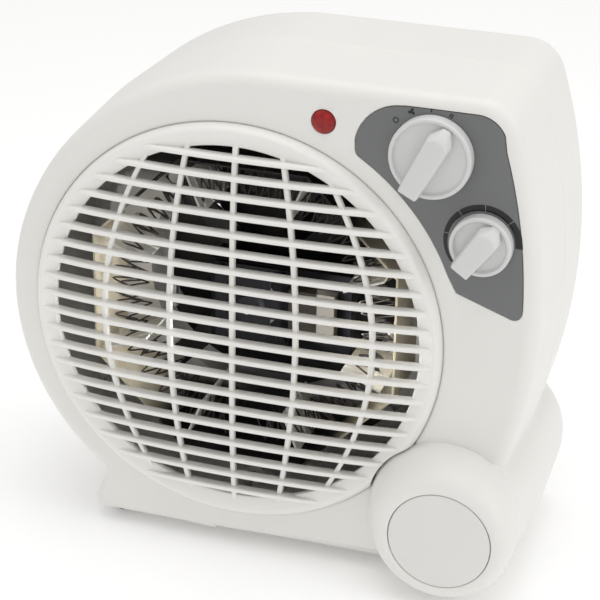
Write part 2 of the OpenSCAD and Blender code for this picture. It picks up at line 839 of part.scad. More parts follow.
// A lead swept along a route as an eight-sided tube
module lead(route, r) {
    sides = 8;
    last = len(route) - 1;
    function along(i) = let (d = route[min(i + 1, last)] - route[max(i - 1, 0)]) d / norm(d);
    function across(i) = let (c = cross(along(i), [0, 1, 0])) c / norm(c);
    points = [for (i = [0 : last], k = [0 : sides - 1])
        let (u = across(i), v = cross(along(i), u), a = 360 * k / sides)
        route[i] + r * (cos(a) * u + sin(a) * v)];
    walls = [for (i = [0 : last - 1], k = [0 : sides - 1], half = [0, 1])
        let (n = (k + 1) % sides, near = i * sides, far = near + sides)
        half == 0 ? [near + k, near + n, far + n] : [near + k, far + n, far + k]];
    polyhedron(points, concat(walls, [[for (k = [sides - 1 : -1 : 0]) k]],
        [[for (k = [0 : sides - 1]) last * sides + k]]));
}

// Leads from the terminal block up to the controls
lead_routes = [
    [[94, 70, -25], [96, 66, 0], [100, 60, 30], [mode_x + 18.2, 40, mode_z - 21.9],
        [mode_x + 2.2, 30, mode_z - 9.9]],
    [[106, 70, -25], [110, 66, 0], [112, 50, 20], [thermo_x + 3.2, 31, thermo_z - 16.2]],
    [[mode_x - 3.8, 30, mode_z + 1], [66, 36, lamp_z - 6.4], [52, 38, lamp_z - 6.4],
        [lamp_x + 3.4, 32, lamp_z - 3.4], [lamp_x, 20, lamp_z + 0.8]]];

module wiring() {
    color("#c9c9c9") placed() for (route = lead_routes) lead(route, 1.2);
}

// ================= fasteners and feet =================

module case_screws() {
    color(STEEL) placed() for (p = case_screws_at) {
        bar(p[0], p[1], screw_r, seam_y - 10, seam_y + screw_grip, 32);
        bar(p[0], p[1], screw_head_r, seam_y + screw_grip, seam_y + screw_grip + screw_head_t, 32);
    }
}

module rubber_feet() {
    color(BLACK) placed() {
        for (p = plain_feet) translate([p[0], p[1], -ground_z])
            cylinder(r1 = foot_pad_r - foot_pad_taper, r2 = foot_pad_r - 0.02,
                h = base_gap + socket_depth, $fn = 48);
        for (y = nose_pad_y) translate([foot_x, y, -ground_z])
            cylinder(r1 = nose_pad_r - 1.2, r2 = nose_pad_r - 0.02, h = nose_pad_h, $fn = 48);
    }
}

front_shell();
rear_shell();
outlet_grille();
foot_nose();
foot_cap();
control_plate();
lamp_lens();
lamp_holder();
neon_lamp();
mode_knob();
mode_spindle();
mode_switch_body();
mode_switch_nut();
thermostat_knob();
thermostat_spindle();
thermostat_body();
thermostat_nut();
thermostat_contacts();
fan_impeller();
fan_clip();
motor_shaft();
motor_rotor();
motor_stator();
motor_coil();
motor_front_bracket();
motor_rear_bracket();
motor_bushes();
motor_screws();
motor_bridge();
fan_duct();
duct_screws();
mica_tube();
mica_combs();
heating_wire_low();
heating_wire_high();
element_lugs();
thermal_cutout();
thermal_fuse();
terminal_block();
wiring();
cord_gland();
case_screws();
rubber_feet();
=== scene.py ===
"""Looks for the upright fan heater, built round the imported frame.

Lengths inside this script are millimetres measured from the middle of the round outlet,
on the front face: x to the right, y to the back, z up. place() turns them into the frame.
"""

import math

import bmesh
import bpy
import numpy as np
from mathutils import Matrix, Vector


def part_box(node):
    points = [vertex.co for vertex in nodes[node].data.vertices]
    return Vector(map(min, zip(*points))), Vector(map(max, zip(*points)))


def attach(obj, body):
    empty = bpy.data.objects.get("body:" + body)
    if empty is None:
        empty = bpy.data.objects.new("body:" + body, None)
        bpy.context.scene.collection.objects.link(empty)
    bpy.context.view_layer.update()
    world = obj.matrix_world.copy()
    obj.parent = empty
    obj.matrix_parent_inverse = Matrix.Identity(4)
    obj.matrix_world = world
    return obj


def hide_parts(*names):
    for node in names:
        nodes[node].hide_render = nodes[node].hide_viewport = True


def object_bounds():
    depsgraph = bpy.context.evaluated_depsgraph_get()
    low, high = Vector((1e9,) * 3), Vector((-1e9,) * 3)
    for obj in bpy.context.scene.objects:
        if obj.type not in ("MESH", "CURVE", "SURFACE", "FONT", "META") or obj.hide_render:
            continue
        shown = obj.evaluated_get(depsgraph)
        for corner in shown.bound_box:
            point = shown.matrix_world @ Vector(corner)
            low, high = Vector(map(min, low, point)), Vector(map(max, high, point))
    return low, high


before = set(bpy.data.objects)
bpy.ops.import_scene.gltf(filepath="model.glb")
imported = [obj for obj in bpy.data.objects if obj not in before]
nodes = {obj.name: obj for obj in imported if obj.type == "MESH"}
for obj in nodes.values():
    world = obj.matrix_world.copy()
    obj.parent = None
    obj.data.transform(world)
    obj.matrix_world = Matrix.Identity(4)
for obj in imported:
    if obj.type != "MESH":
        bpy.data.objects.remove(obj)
cad_low, cad_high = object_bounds()
scene = bpy.context.scene

MM = 0.001
grille_low, grille_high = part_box("outlet_grille")
CENTRE = Vector((
    (grille_low.x + grille_high.x) / 2,
    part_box("front_shell")[0].y,
    (grille_low.z + grille_high.z) / 2,
))

# ---------------------------------------------------------------- sizes, as in the frame
SIDE_R = 108.0
TOP_Z = 117.5
RIGHT_X = 134.5
DEPTH = 95.0
SEAM_Y = 45.0
WALL = 2.4
DRAFT = 1.55
EDGE_R = 6.5
CORNER_R = 18.0
TOP_ARC_X = 13.3
FLANK_R = 256.0
FLANK_Z = 24.0
OUTLET_R = 95.0
FOOT_X = 98.7
FOOT_Z = -74.7
FOOT_R = 36.4
NOSE = 21.5
LEAN = 3 / NOSE
CAP_R = 22.8
PLATE_T = 1.2
MODE_X, MODE_Z, MODE_R, MODE_A = RIGHT_X - 48.7, TOP_Z - 25.6, 17.6, 27.0
THERMO_X, THERMO_Z, THERMO_R, THERMO_A = RIGHT_X - 25.7, TOP_Z - 61.3, 13.2, 35.0
LAMP_X, LAMP_Z, LAMP_R = 38.6, TOP_Z - 17.3, 5.2
SLATS = 20
SLAT_PITCH = 8.45
SLAT_T = 2.1
SLAT_DEPTH = 5.0
RIB_W = 2.4
DOME_H = 10.7
RIM_IN = OUTLET_R * 0.89
RIM_TOP = OUTLET_R * 0.962
RIM_OUT = OUTLET_R - 0.8
RIM_RECESS = 3.6
RIB_RECESS = 2.5
RIBS = (-0.627, -0.298, 0.012, 0.318, 0.678)  # where they cross the middle, in outlet radii

TOP_ARC_R = (TOP_ARC_X**2 + TOP_Z**2 - SIDE_R**2) / (2 * (TOP_Z - SIDE_R))
TOP_ARC_Z = TOP_Z - TOP_ARC_R
BLEND_A = math.degrees(math.atan2(-TOP_ARC_Z, -TOP_ARC_X))
FLANK_X = RIGHT_X - FLANK_R
CORNER_Z = TOP_Z - CORNER_R
CORNER_X = FLANK_X + math.sqrt((FLANK_R - CORNER_R) ** 2 - (CORNER_Z - FLANK_Z) ** 2)
CORNER_A = math.degrees(math.atan2(CORNER_Z - FLANK_Z, CORNER_X - FLANK_X))


# ---------------------------------------------------------------- camera
def make_camera():
    """The camera looks at the heater from the right and above."""
    azimuth, elevation, roll = (math.radians(a) for a in (17.79, 25.36, 1.02))
    sa, ca = math.sin(azimuth), math.cos(azimuth)
    se, ce = math.sin(elevation), math.cos(elevation)
    back = Vector((sa * ce, -ca * ce, se))
    right = Vector((ca, sa, 0))
    up = Vector((-sa * se, ca * se, ce))
    right_2 = math.cos(roll) * right + math.sin(roll) * up
    up_2 = -math.sin(roll) * right + math.cos(roll) * up
    data = bpy.data.cameras.new("camera")
    data.lens = 123.66
    data.sensor_width = 36.0
    data.clip_start = 0.05
    data.clip_end = 50
    camera = bpy.data.objects.new("camera", data)
    scene.collection.objects.link(camera)
    right_by, up_by, distance = 0.3013, 0.1166, 9.54  # in outlet radii
    spot = CENTRE + (right_by * right_2 + up_by * up_2 + distance * back) * OUTLET_R * MM
    turn = Matrix((right_2, up_2, back)).transposed().to_4x4()
    camera.matrix_world = Matrix.Translation(spot) @ turn
    scene.camera = camera


make_camera()


# ---------------------------------------------------------------- materials
def node_material(name):
    """A new material with its node tree, its shader and a source of coordinates."""
    material = bpy.data.materials.new(name)
    material.use_nodes = True
    tree = material.node_tree
    shader = tree.nodes["Principled BSDF"]
    coords = tree.nodes.new("ShaderNodeTexCoord")
    return material, tree, shader, coords


def noise(tree, coords, scale, detail=2.0, rough=0.5, stretch=None):
    """A noise field over the piece's own coordinates; stretch squeezes it along the axes."""
    field = tree.nodes.new("ShaderNodeTexNoise")
    field.inputs["Scale"].default_value = scale
    field.inputs["Detail"].default_value = detail
    field.inputs["Roughness"].default_value = rough
    if stretch is None:
        tree.links.new(coords.outputs["Object"], field.inputs["Vector"])
    else:
        squeeze = tree.nodes.new("ShaderNodeMapping")
        squeeze.inputs["Scale"].default_value = stretch
        tree.links.new(coords.outputs["Object"], squeeze.inputs["Vector"])
        tree.links.new(squeeze.outputs["Vector"], field.inputs["Vector"])
    return field.outputs["Fac"]


def spread(tree, value, low, high, new_low, new_high):
    """Maps a field's range low..high onto new_low..new_high."""
    remap = tree.nodes.new("ShaderNodeMapRange")
    remap.inputs["From Min"].default_value = low
    remap.inputs["From Max"].default_value = high
    remap.inputs["To Min"].default_value = new_low
    remap.inputs["To Max"].default_value = new_high
    tree.links.new(value, remap.inputs["Value"])
    return remap.outputs["Result"]


def blend_colours(tree, value, first, second):
    mix = tree.nodes.new("ShaderNodeMix")
    mix.data_type = "RGBA"
    mix.inputs["A"].default_value = (*first, 1)
    mix.inputs["B"].default_value = (*second, 1)
    tree.links.new(value, mix.inputs["Factor"])
    return mix.outputs["Result"]


def shade(colour, by):
    """The colour made lighter or darker by a factor."""
    return tuple(min(1.0, c * by) for c in colour)


def bump(tree, shader, layers):
    """Layers are (height field, distance in metres, strength), stacked."""
    last = None
    for field, distance, strength in layers:
        node = tree.nodes.new("ShaderNodeBump")
        node.inputs["Distance"].default_value = distance
        node.inputs["Strength"].default_value = strength
        tree.links.new(field, node.inputs["Height"])
        if last is not None:
            tree.links.new(last, node.inputs["Normal"])
        last = node.outputs["Normal"]
    tree.links.new(last, shader.inputs["Normal"])


def moulded(name, colour, rough, grain=0.00003, grain_scale=2600, mottle=0.02, painted_shade=False):
    """Moulded plastic: a fine spark-eroded grain, faint flow marks and handled patches; it can carry
    painted shade above and below the middle of the heating tube.
    """
    material, tree, shader, coords = node_material(name)
    flow = noise(tree, coords, 14, 3, 0.55, (1, 0.45, 1))
    fine = noise(tree, coords, grain_scale, 1.5, 0.6)
    handled = noise(tree, coords, 55, 4, 0.6)
    darker = shade(colour, 1 - mottle)
    lighter = shade(colour, 1 + mottle)
    base = blend_colours(tree, spread(tree, flow, 0.3, 0.7, 0, 1), darker, lighter)
    # Painted shade, if asked for: the colour goes near black above and below the middle of the heating tube
    tree.links.new(add_painted_shade(tree, coords, base) if painted_shade else base, shader.inputs["Base Color"])
    tree.links.new(spread(tree, handled, 0.3, 0.7, rough - 0.05, rough + 0.06),
                   shader.inputs["Roughness"])
    bump(tree, shader, [(fine, grain, 0.5), (handled, 0.00002, 0.25)])
    return material


def metal(name, colour, rough, brushed=(1, 1, 1), stain=0.12):
    """Metal with drawn lines along one axis and a few dull stains."""
    material, tree, shader, coords = node_material(name)
    lines = noise(tree, coords, 500, 3, 0.6, brushed)
    dull = noise(tree, coords, 90, 4, 0.6)
    patches = spread(tree, dull, 0.35, 0.7, 0, 1)
    base = blend_colours(tree, patches, colour, shade(colour, 1 - stain))
    tree.links.new(base, shader.inputs["Base Color"])
    shader.inputs["Metallic"].default_value = 1.0
    tree.links.new(spread(tree, dull, 0.3, 0.7, rough - 0.06, rough + 0.14), shader.inputs["Roughness"])
    bump(tree, shader, [(lines, 0.00004, 0.35)])
    return material


# Where the painted shade lies: near-black bands above and below the middle of the heating tube, in metres
PAINTED_SHADE_MID = CENTRE.z - 0.004
PAINTED_SHADE_FROM, PAINTED_SHADE_TO = 0.042, 0.056


def add_painted_shade(tree, coords, base):
    """Paints shade: darkens a colour field to near black above and below the middle of the heating tube,
    where the inside lies in shade; heights in metres.
    """
    axes = tree.nodes.new("ShaderNodeSeparateXYZ")
    tree.links.new(coords.outputs["Object"], axes.inputs["Vector"])
    away = tree.nodes.new("ShaderNodeMath")
    away.operation = "SUBTRACT"
    away.inputs[1].default_value = PAINTED_SHADE_MID
    tree.links.new(axes.outputs["Z"], away.inputs[0])
    size = tree.nodes.new("ShaderNodeMath")
    size.operation = "ABSOLUTE"
    tree.links.new(away.outputs["Value"], size.inputs[0])
    mix = tree.nodes.new("ShaderNodeMix")
    mix.data_type = "RGBA"
    # the near-black colour of the painted shade
    mix.inputs["B"].default_value = (0.012, 0.011, 0.01, 1)
    tree.links.new(spread(tree, size.outputs["Value"], PAINTED_SHADE_FROM, PAINTED_SHADE_TO, 0, 1), mix.inputs["Factor"])
    tree.links.new(base, mix.inputs["A"])
    return mix.outputs["Result"]


def mica_sheet(name, colour, pale, painted_shade=False):
    """Pressed mica: fine flakes in a resin, with cloudy patches; it can carry painted shade above and
    below.
    """
    material, tree, shader, coords = node_material(name)
    cloud = noise(tree, coords, 45, 4, 0.6)
    flakes = tree.nodes.new("ShaderNodeTexVoronoi")
    flakes.inputs["Scale"].default_value = 900
    tree.links.new(coords.outputs["Object"], flakes.inputs["Vector"])
    base = blend_colours(tree, spread(tree, cloud, 0.3, 0.7, 0, 1), colour, pale)
    # Painted shade: near-black bands above and below the middle of the heating tube
    if painted_shade:
        base = add_painted_shade(tree, coords, base)
    fleck = tree.nodes.new("ShaderNodeMix")
    fleck.data_type = "RGBA"
    fleck.blend_type = "MULTIPLY"
    fleck.inputs["Factor"].default_value = 0.1
    tree.links.new(base, fleck.inputs["A"])
    tree.links.new(flakes.outputs["Color"], fleck.inputs["B"])
    tree.links.new(fleck.outputs["Result"], shader.inputs["Base Color"])
    tree.links.new(spread(tree, flakes.outputs["Distance"], 0, 0.8, 0.35, 0.65), shader.inputs["Roughness"])
    bump(tree, shader, [(flakes.outputs["Distance"], 0.00003, 0.4), (cloud, 0.0001, 0.3)])
    return material


def rubber(name, colour):
    """Dull rubber with a little dust."""
    material, tree, shader, coords = node_material(name)
    dust = noise(tree, coords, 120, 5, 0.65)
    fine = noise(tree, coords, 1800, 2, 0.6)
    tree.links.new(blend_colours(tree, spread(tree, dust, 0.35, 0.75, 0, 1), colour, shade(colour, 1.8)),
                   shader.inputs["Base Color"])
    tree.links.new(spread(tree, dust, 0.3, 0.7, 0.7, 0.9), shader.inputs["Roughness"])
    bump(tree, shader, [(fine, 0.00006, 0.5)])
    return material


def lens_material(name):
    """Deep red clear plastic with moulded ripples inside."""
    material, tree, shader, coords = node_material(name)
    ripple = noise(tree, coords, 420, 2, 0.5)
    waves = spread(tree, ripple, 0.3, 0.7, 0, 1)
    red = blend_colours(tree, waves, (0.2, 0.006, 0.006), (0.36, 0.014, 0.012))
    tree.links.new(red, shader.inputs["Base Color"])
    tree.links.new(spread(tree, ripple, 0.3, 0.7, 0.1, 0.2), shader.inputs["Roughness"])
    shader.inputs["Specular IOR Level"].default_value = 0.3
    shader.inputs["Coat Weight"].default_value = 0.15
    shader.inputs["Coat Roughness"].default_value = 0.15
    bump(tree, shader, [(ripple, 0.00012, 0.3)])
    return material


def glass(name):
    """Thin tinted glass with a faint film on it."""
    material, tree, shader, coords = node_material(name)
    film = noise(tree, coords, 300, 2, 0.5)
    orange = blend_colours(tree, film, (0.9, 0.6, 0.45), (0.95, 0.7, 0.55))
    tree.links.new(orange, shader.inputs["Base Color"])
    tree.links.new(spread(tree, film, 0.3, 0.7, 0.03, 0.12), shader.inputs["Roughness"])
    shader.inputs["Transmission Weight"].default_value = 0.8
    return material


IVORY = moulded("ivory_plastic", (0.80, 0.79, 0.76), 0.42, mottle=0.012)
# The duct is ivory, with painted shade above and below the middle of the heating tube
DUCT = moulded("duct_plastic", (0.80, 0.79, 0.76), 0.5, mottle=0.012, painted_shade=True)
CAP = moulded("cap_plastic", (0.75, 0.74, 0.715), 0.42, mottle=0.012)
GRILLE = moulded("grille_plastic", (0.84, 0.83, 0.80), 0.38, mottle=0.01)
GREY = moulded("grey_plastic", (0.155, 0.158, 0.16), 0.5, grain=0.00005, grain_scale=2200, mottle=0.03)
KNOB = moulded("knob_plastic", (0.66, 0.665, 0.66), 0.4, mottle=0.012)
INK = moulded("dark_ink", (0.014, 0.014, 0.015), 0.6, grain=0.00002)
PALE_INK = moulded("pale_ink", (0.33, 0.33, 0.32), 0.6, grain=0.00002)
BLACK = moulded("black_plastic", (0.007, 0.007, 0.0075), 0.5, mottle=0.1)
STEATITE = moulded("steatite", (0.72, 0.69, 0.62), 0.7, grain=0.00008, grain_scale=1500, mottle=0.04)
BLOCK = moulded("block_plastic", (0.66, 0.63, 0.54), 0.5, mottle=0.02)
SLEEVE = moulded("lead_insulation", (0.58, 0.57, 0.54), 0.6, grain=0.00012, grain_scale=1400, mottle=0.05)
COIL = moulded("coil_wrap", (0.07, 0.062, 0.05), 0.6, grain=0.0001, grain_scale=700, mottle=0.08)
STEEL = metal("zinc_steel", (0.58, 0.58, 0.57), 0.3)
CORE = metal("core_steel", (0.018, 0.018, 0.02), 0.55, (0.2, 6, 0.2))
DARK_STEEL = metal("dark_steel", (0.03, 0.03, 0.033), 0.5)
ROTOR = metal("rotor_aluminium", (0.42, 0.42, 0.43), 0.4)
BRASS = metal("brass", (0.62, 0.43, 0.17), 0.3)
WIRE = metal("heating_wire", (0.10, 0.09, 0.085), 0.4, (1, 1, 1), 0.35)
# The mica tube carries painted shade above and below the middle of the heating tube
MICA = mica_sheet("mica", (0.70, 0.62, 0.46), (0.82, 0.75, 0.60), painted_shade=True)
PALE_MICA = mica_sheet("pale_mica", (0.74, 0.72, 0.66), (0.84, 0.83, 0.79))
RUBBER = rubber("foot_rubber", (0.03, 0.028, 0.026))
GLAND = rubber("gland_rubber", (0.02, 0.02, 0.021))
LENS = lens_material("red_lens")
GLASS = glass("lamp_glass")

CAD_LOOKS = {
    "front_shell": IVORY, "rear_shell": IVORY, "outlet_grille": GRILLE, "foot_nose": IVORY,
    "foot_cap": CAP, "control_plate": GREY, "lamp_lens": LENS, "lamp_holder": BLACK,
    "neon_lamp": GLASS, "mode_knob": KNOB, "mode_spindle": STEEL, "mode_switch_body": BLACK,
    "mode_switch_nut": STEEL, "thermostat_knob": KNOB, "thermostat_spindle": BRASS,
    "thermostat_body": STEATITE, "thermostat_nut": STEEL, "thermostat_contacts": BRASS,
    "fan_impeller": BLACK, "fan_clip": STEEL, "motor_shaft": STEEL, "motor_rotor": ROTOR,
    "motor_stator": CORE, "motor_coil": COIL, "motor_front_bracket": DARK_STEEL,
    "motor_rear_bracket": DARK_STEEL, "motor_bridge": BLACK, "motor_bushes": DARK_STEEL,
    "motor_screws": DARK_STEEL, "fan_duct": DUCT, "duct_screws": STEEL, "mica_tube": MICA,
    "mica_combs": PALE_MICA,
    "heating_wire_low": WIRE, "heating_wire_high": WIRE, "element_lugs": STEEL,
    "thermal_cutout": BLACK, "thermal_fuse": ROTOR, "terminal_block": BLOCK, "wiring": SLEEVE,
    "cord_gland": GLAND, "case_screws": STEEL, "rubber_feet": RUBBER,
}
for node_name, look in CAD_LOOKS.items():
    mesh = nodes[node_name].data
    mesh.materials.clear()
    mesh.materials.append(look)


# ---------------------------------------------------------------- mesh helpers
def place(points):
    """Millimetres round the outlet's centre to metres in the frame."""
    return np.asarray(points, float) * MM + np.array(CENTRE)


def new_object(name, points, faces):
    """A mesh object from points in millimetres round the outlet's centre."""
    mesh = bpy.data.meshes.new(name)
    mesh.from_pydata([tuple(p) for p in place(points)], [], faces)
    mesh.validate()
    obj = bpy.data.objects.new(name, mesh)
    scene.collection.objects.link(obj)
    return obj


def smooth(obj, angle=32):
    """Smooth shading with creases kept sharp above the angle."""
    for polygon in obj.data.polygons:
        polygon.use_smooth = True
    obj.data.set_sharp_from_angle(angle=math.radians(angle))
    return obj


def dress(obj, body, look, slot, *stands_for, angle=32):
    """Gives a piece its material, shading and body, and hides the frame nodes that it stands for."""
    obj.data.materials.clear()
    obj.data.materials.append(look)
    for polygon in obj.data.polygons:
        polygon.material_index = 0
    smooth(obj, angle)
    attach(obj, body)
    if stands_for:
        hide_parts(*stands_for)
    return obj


def outward(obj):
    """Makes all face normals point outwards."""
    grid = bmesh.new()
    grid.from_mesh(obj.data)
    bmesh.ops.recalc_face_normals(grid, faces=grid.faces)
    grid.to_mesh(obj.data)
    grid.free()
    return obj


def sweep_faces(rows, count, wrap_rows=False):
    """Quads between successive rings of count points."""
    faces = []
    for r in range(rows if wrap_rows else rows - 1):
        near, far = r * count, ((r + 1) % rows) * count
        for i in range(count):
            j = (i + 1) % count
            faces.append((near + i, near + j, far + j, far + i))
    return faces


def loft(name, rows, wrap_rows=False, caps=False):
    """A closed skin over rings of points, each ring with the same number of points."""
    count = len(rows[0])
    faces = sweep_faces(len(rows), count, wrap_rows)
    if caps:
        faces.append(tuple(range(count))[::-1])
        faces.append(tuple(range((len(rows) - 1) * count, len(rows) * count)))
    return outward(new_object(name, np.concatenate(rows), faces))


def turned(name, x, z, profile, steps=160, lean=0.0):
    """A closed [radius, depth] profile turned round a front-to-back axis, or one that leans."""
    angles = np.radians(np.arange(steps) * 360 / steps)
    rings = []
    for radius, depth in profile:
        shift = -lean * min(depth, 0)
        rings.append(np.stack([x + shift + radius * np.cos(angles), np.full(steps, depth),
                               z - shift + radius * np.sin(angles)], 1))
    obj = loft(name, rings, wrap_rows=True)
    grid = bmesh.new()
    grid.from_mesh(obj.data)
    bmesh.ops.remove_doubles(grid, verts=grid.verts, dist=1e-7)
    bmesh.ops.dissolve_degenerate(grid, dist=1e-8, edges=grid.edges)
    grid.to_mesh(obj.data)
    grid.free()
    return outward(obj)


def fillet(profile, radii, steps=6):
    """Rounds the corners of a closed profile; radii has one radius for each corner."""
    rounded = []
    count = len(profile)
    for i, radius in enumerate(radii):
        corner = np.array(profile[i], float)
        back = np.array(profile[i - 1], float) - corner
        ahead = np.array(profile[(i + 1) % count], float) - corner
        if radius <= 0:
            rounded.append(tuple(corner))
            continue
        back_n, ahead_n = back / np.linalg.norm(back), ahead / np.linalg.norm(ahead)
        half = math.acos(max(-1, min(1, float(back_n @ ahead_n)))) / 2
        cut = radius / math.tan(half)
        start, end = corner + back_n * cut, corner + ahead_n * cut
        middle = corner + (back_n + ahead_n) / np.linalg.norm(back_n + ahead_n) * radius / math.sin(half)
        a0 = math.atan2(*(start - middle)[::-1])
        a1 = math.atan2(*(end - middle)[::-1])
        turn = (a1 - a0 + math.pi) % (2 * math.pi) - math.pi
        for s in range(steps + 1):
            a = a0 + turn * s / steps
            rounded.append((middle[0] + radius * math.cos(a), middle[1] + radius * math.sin(a)))
    return rounded


def prism(name, outline_xz, y0, y1):
    """A flat outline stretched from depth y0 to y1."""
    outline_xz = np.asarray(outline_xz, float)
    rows = [np.insert(outline_xz, 1, y, axis=1) for y in (y0, y1)]
    return loft(name, rows, caps=True)


def cut(target, cutter):
    """Takes the cutter away from the target and removes the cutter."""
    modifier = target.modifiers.new("cut", "BOOLEAN")
    modifier.operation = "DIFFERENCE"
    modifier.solver = "EXACT"
    modifier.object = cutter
    bpy.context.view_layer.update()
    evaluated = target.evaluated_get(bpy.context.evaluated_depsgraph_get())
    result = bpy.data.meshes.new_from_object(evaluated)
    old = target.data
    target.modifiers.clear()
    target.data = result
    bpy.data.meshes.remove(old)
    bpy.data.objects.remove(cutter)
    return target


def bevel(obj, width, segments, angle):
    """Rounds the edges that are sharper than the angle."""
    modifier = obj.modifiers.new("bevel", "BEVEL")
    modifier.width = width * MM
    modifier.segments = segments
    modifier.limit_method = "ANGLE"
    modifier.angle_limit = math.radians(angle)
    modifier.harden_normals = False
    bpy.context.view_layer.update()
    evaluated = obj.evaluated_get(bpy.context.evaluated_depsgraph_get())
    result = bpy.data.meshes.new_from_object(evaluated)
    old = obj.data
    obj.modifiers.clear()
    obj.data = result
    bpy.data.meshes.remove(old)
    return obj


def join(name, objects):
    """Joins meshes into one piece."""
    grid = bmesh.new()
    for part in objects:
        grid.from_mesh(part.data)
        bpy.data.objects.remove(part)
    mesh = bpy.data.meshes.new(name)
    grid.to_mesh(mesh)
    grid.free()
    obj = bpy.data.objects.new(name, mesh)
    scene.collection.objects.link(obj)
    return obj


# ---------------------------------------------------------------- outline of the housing
def arc(x, z, radius, a0, a1, count):
    """Points along part of a circle, from angle a0 to a1 in degrees."""
    a = np.radians(np.linspace(a0, a1, count))
    return np.stack([x + radius * np.cos(a), z + radius * np.sin(a)], 1)


def outline(grow):
    """The housing's front outline, grown by that much."""
    end_a = math.degrees(math.asin((-SIDE_R - grow - FLANK_Z) / (FLANK_R + grow)))
    left = np.concatenate([
        arc(0, 0, SIDE_R + grow, 270, BLEND_A, 240),
        arc(TOP_ARC_X, TOP_ARC_Z, TOP_ARC_R + grow, BLEND_A, 90, 160)])
    right = np.concatenate([
        arc(CORNER_X, CORNER_Z, CORNER_R + grow, 90, CORNER_A, 120),
        arc(FLANK_X, FLANK_Z, FLANK_R + grow, CORNER_A, end_a, 160)])
    return np.concatenate([left, level(left[-1], right[0], 120), right, level(right[-1], left[0], 90)])


def level(start, end, count):
    """Points along a straight stretch, without its ends."""
    share = np.linspace(0, 1, count)[1:-1, None]
    return start + (end - start) * share


# Directions round the outlet, closer together at the heel, the foot and the top corner
THETA = np.unique(np.round(np.concatenate([
    np.arange(0, 360, 0.4),
    np.arange(232, 238, 0.08),
    np.arange(302, 342, 0.2),
    np.arange(28, 52, 0.2)]), 4))
DIRECTION = np.stack([np.cos(np.radians(THETA)), np.sin(np.radians(THETA))], 1)


def reach_outline(grow):
    """How far the grown outline lies from the outlet's centre, for every direction."""
    points = outline(grow)
    angles = np.degrees(np.arctan2(points[:, 1], points[:, 0])) % 360
    return np.interp(THETA, *in_order(angles, np.hypot(points[:, 0], points[:, 1])), period=360)


def in_order(angles, values):
    """Both lists sorted by angle."""
    order = np.argsort(angles)
    return angles[order], values[order]


def reach_foot(radius):
    """How far the corner foot's round body reaches; 0 where it doesn't lie in the way."""
    along = DIRECTION @ np.array([FOOT_X, FOOT_Z])
    room = along**2 - (FOOT_X**2 + FOOT_Z**2) + radius**2
    return np.where((room > 0) & (along > 0), along + np.sqrt(np.maximum(room, 0)), 0)


def reach_heel(grow):
    """How far the heel reaches below the left side, grown like the rest of the outline."""
    tip_x, tip_r = -65, 5.4
    tip = arc(tip_x, -SIDE_R + tip_r, max(0.5, tip_r + grow), 150, 270, 40)
    bottom = level(np.array([tip[-1][0], -SIDE_R - grow]), np.array([-9.0, -SIDE_R - grow]), 60)
    points = np.concatenate([[[-61, -80]], tip, bottom, [[-8.6, -98]]])
    angles = np.degrees(np.arctan2(points[:, 1], points[:, 0])) % 360
    reach = np.interp(THETA, *in_order(angles, np.hypot(points[:, 0], points[:, 1])))
    return np.where((THETA > angles.min()) & (THETA < angles.max()), reach, 0)


def soft_max(a, b, blend):
    """The larger of two, with a small fillet where they meet."""
    h = np.maximum(blend - np.abs(a - b), 0) / blend
    return np.maximum(a, b) + h * h * blend / 4


def ring_at(reach, y):
    """A ring of points at one depth, as far out as the reach says in every direction."""
    return np.stack([reach * DIRECTION[:, 0], np.full(len(THETA), float(y)), reach * DIRECTION[:, 1]], 1)


def front_grow(y, edge=EDGE_R, base=0.0, y0=0.0):
    """How far the front half's wall stands out at a depth, from its rounded edge to the seam."""
    if y >= y0 + edge:
        return base + DRAFT * (y - y0 - edge) / (SEAM_Y - y0 - edge)
    lift = (y0 + edge - y) / edge
    return base - edge * (1 - math.sqrt(max(0.0, 1 - lift * lift)))


def rear_grow(y, edge=EDGE_R, base=0.0, y1=DEPTH):
    """The same for the rear half, from the seam to its rounded edge."""
    if y <= y1 - edge:
        return base + DRAFT * (y1 - edge - y) / (y1 - edge - SEAM_Y)
    lift = (y - y1 + edge) / edge
    return base - edge * (1 - math.sqrt(max(0.0, 1 - lift * lift)))


# Depth and radius of the corner foot's round body
FOOT_PROFILE = [(0, FOOT_R - 2.2), (15, FOOT_R - 0.6), (SEAM_Y, FOOT_R), (DEPTH - 9, FOOT_R - 1.2),
                (DEPTH - 5, FOOT_R - 1.9), (DEPTH - 2.5, FOOT_R - 3), (DEPTH - 0.8, FOOT_R - 4.7),
                (DEPTH, FOOT_R - 6.4)]


def foot_radius(y):
    """The corner foot's radius at a depth."""
    return float(np.interp(y, [p[0] for p in FOOT_PROFILE], [p[1] for p in FOOT_PROFILE]))


# The share of a flat bevel in the front edge: whole near the corner foot, fading to the left
BEVEL = np.interp(THETA, [262, 300, 322, 328], [0, 1, 1, 0])


def shell_reach(y, grow, bevel_grow=None):
    """The housing's whole outside at a depth: outline, heel and corner foot, run together."""
    reach = reach_outline(grow)
    if bevel_grow is not None:
        reach = reach * (1 - BEVEL) + reach_outline(bevel_grow) * BEVEL
    reach = soft_max(reach, reach_heel(grow), 4)
    return soft_max(reach, reach_foot(foot_radius(y)), 2.2)


def inner_reach(y, grow):
    """The housing's inside at a depth."""
    return np.maximum(reach_outline(grow), reach_foot(foot_radius(y) - WALL))


def between(outer, inner_r, share, y):
    """A ring part of the way from an outer reach in to a circle."""
    return ring_at(outer + (inner_r - outer) * share, y)


# ---------------------------------------------------------------- front half of the housing
PLATE_IN_R = OUTLET_R + 7.2
PLATE_OUT_R = FLANK_R - 7


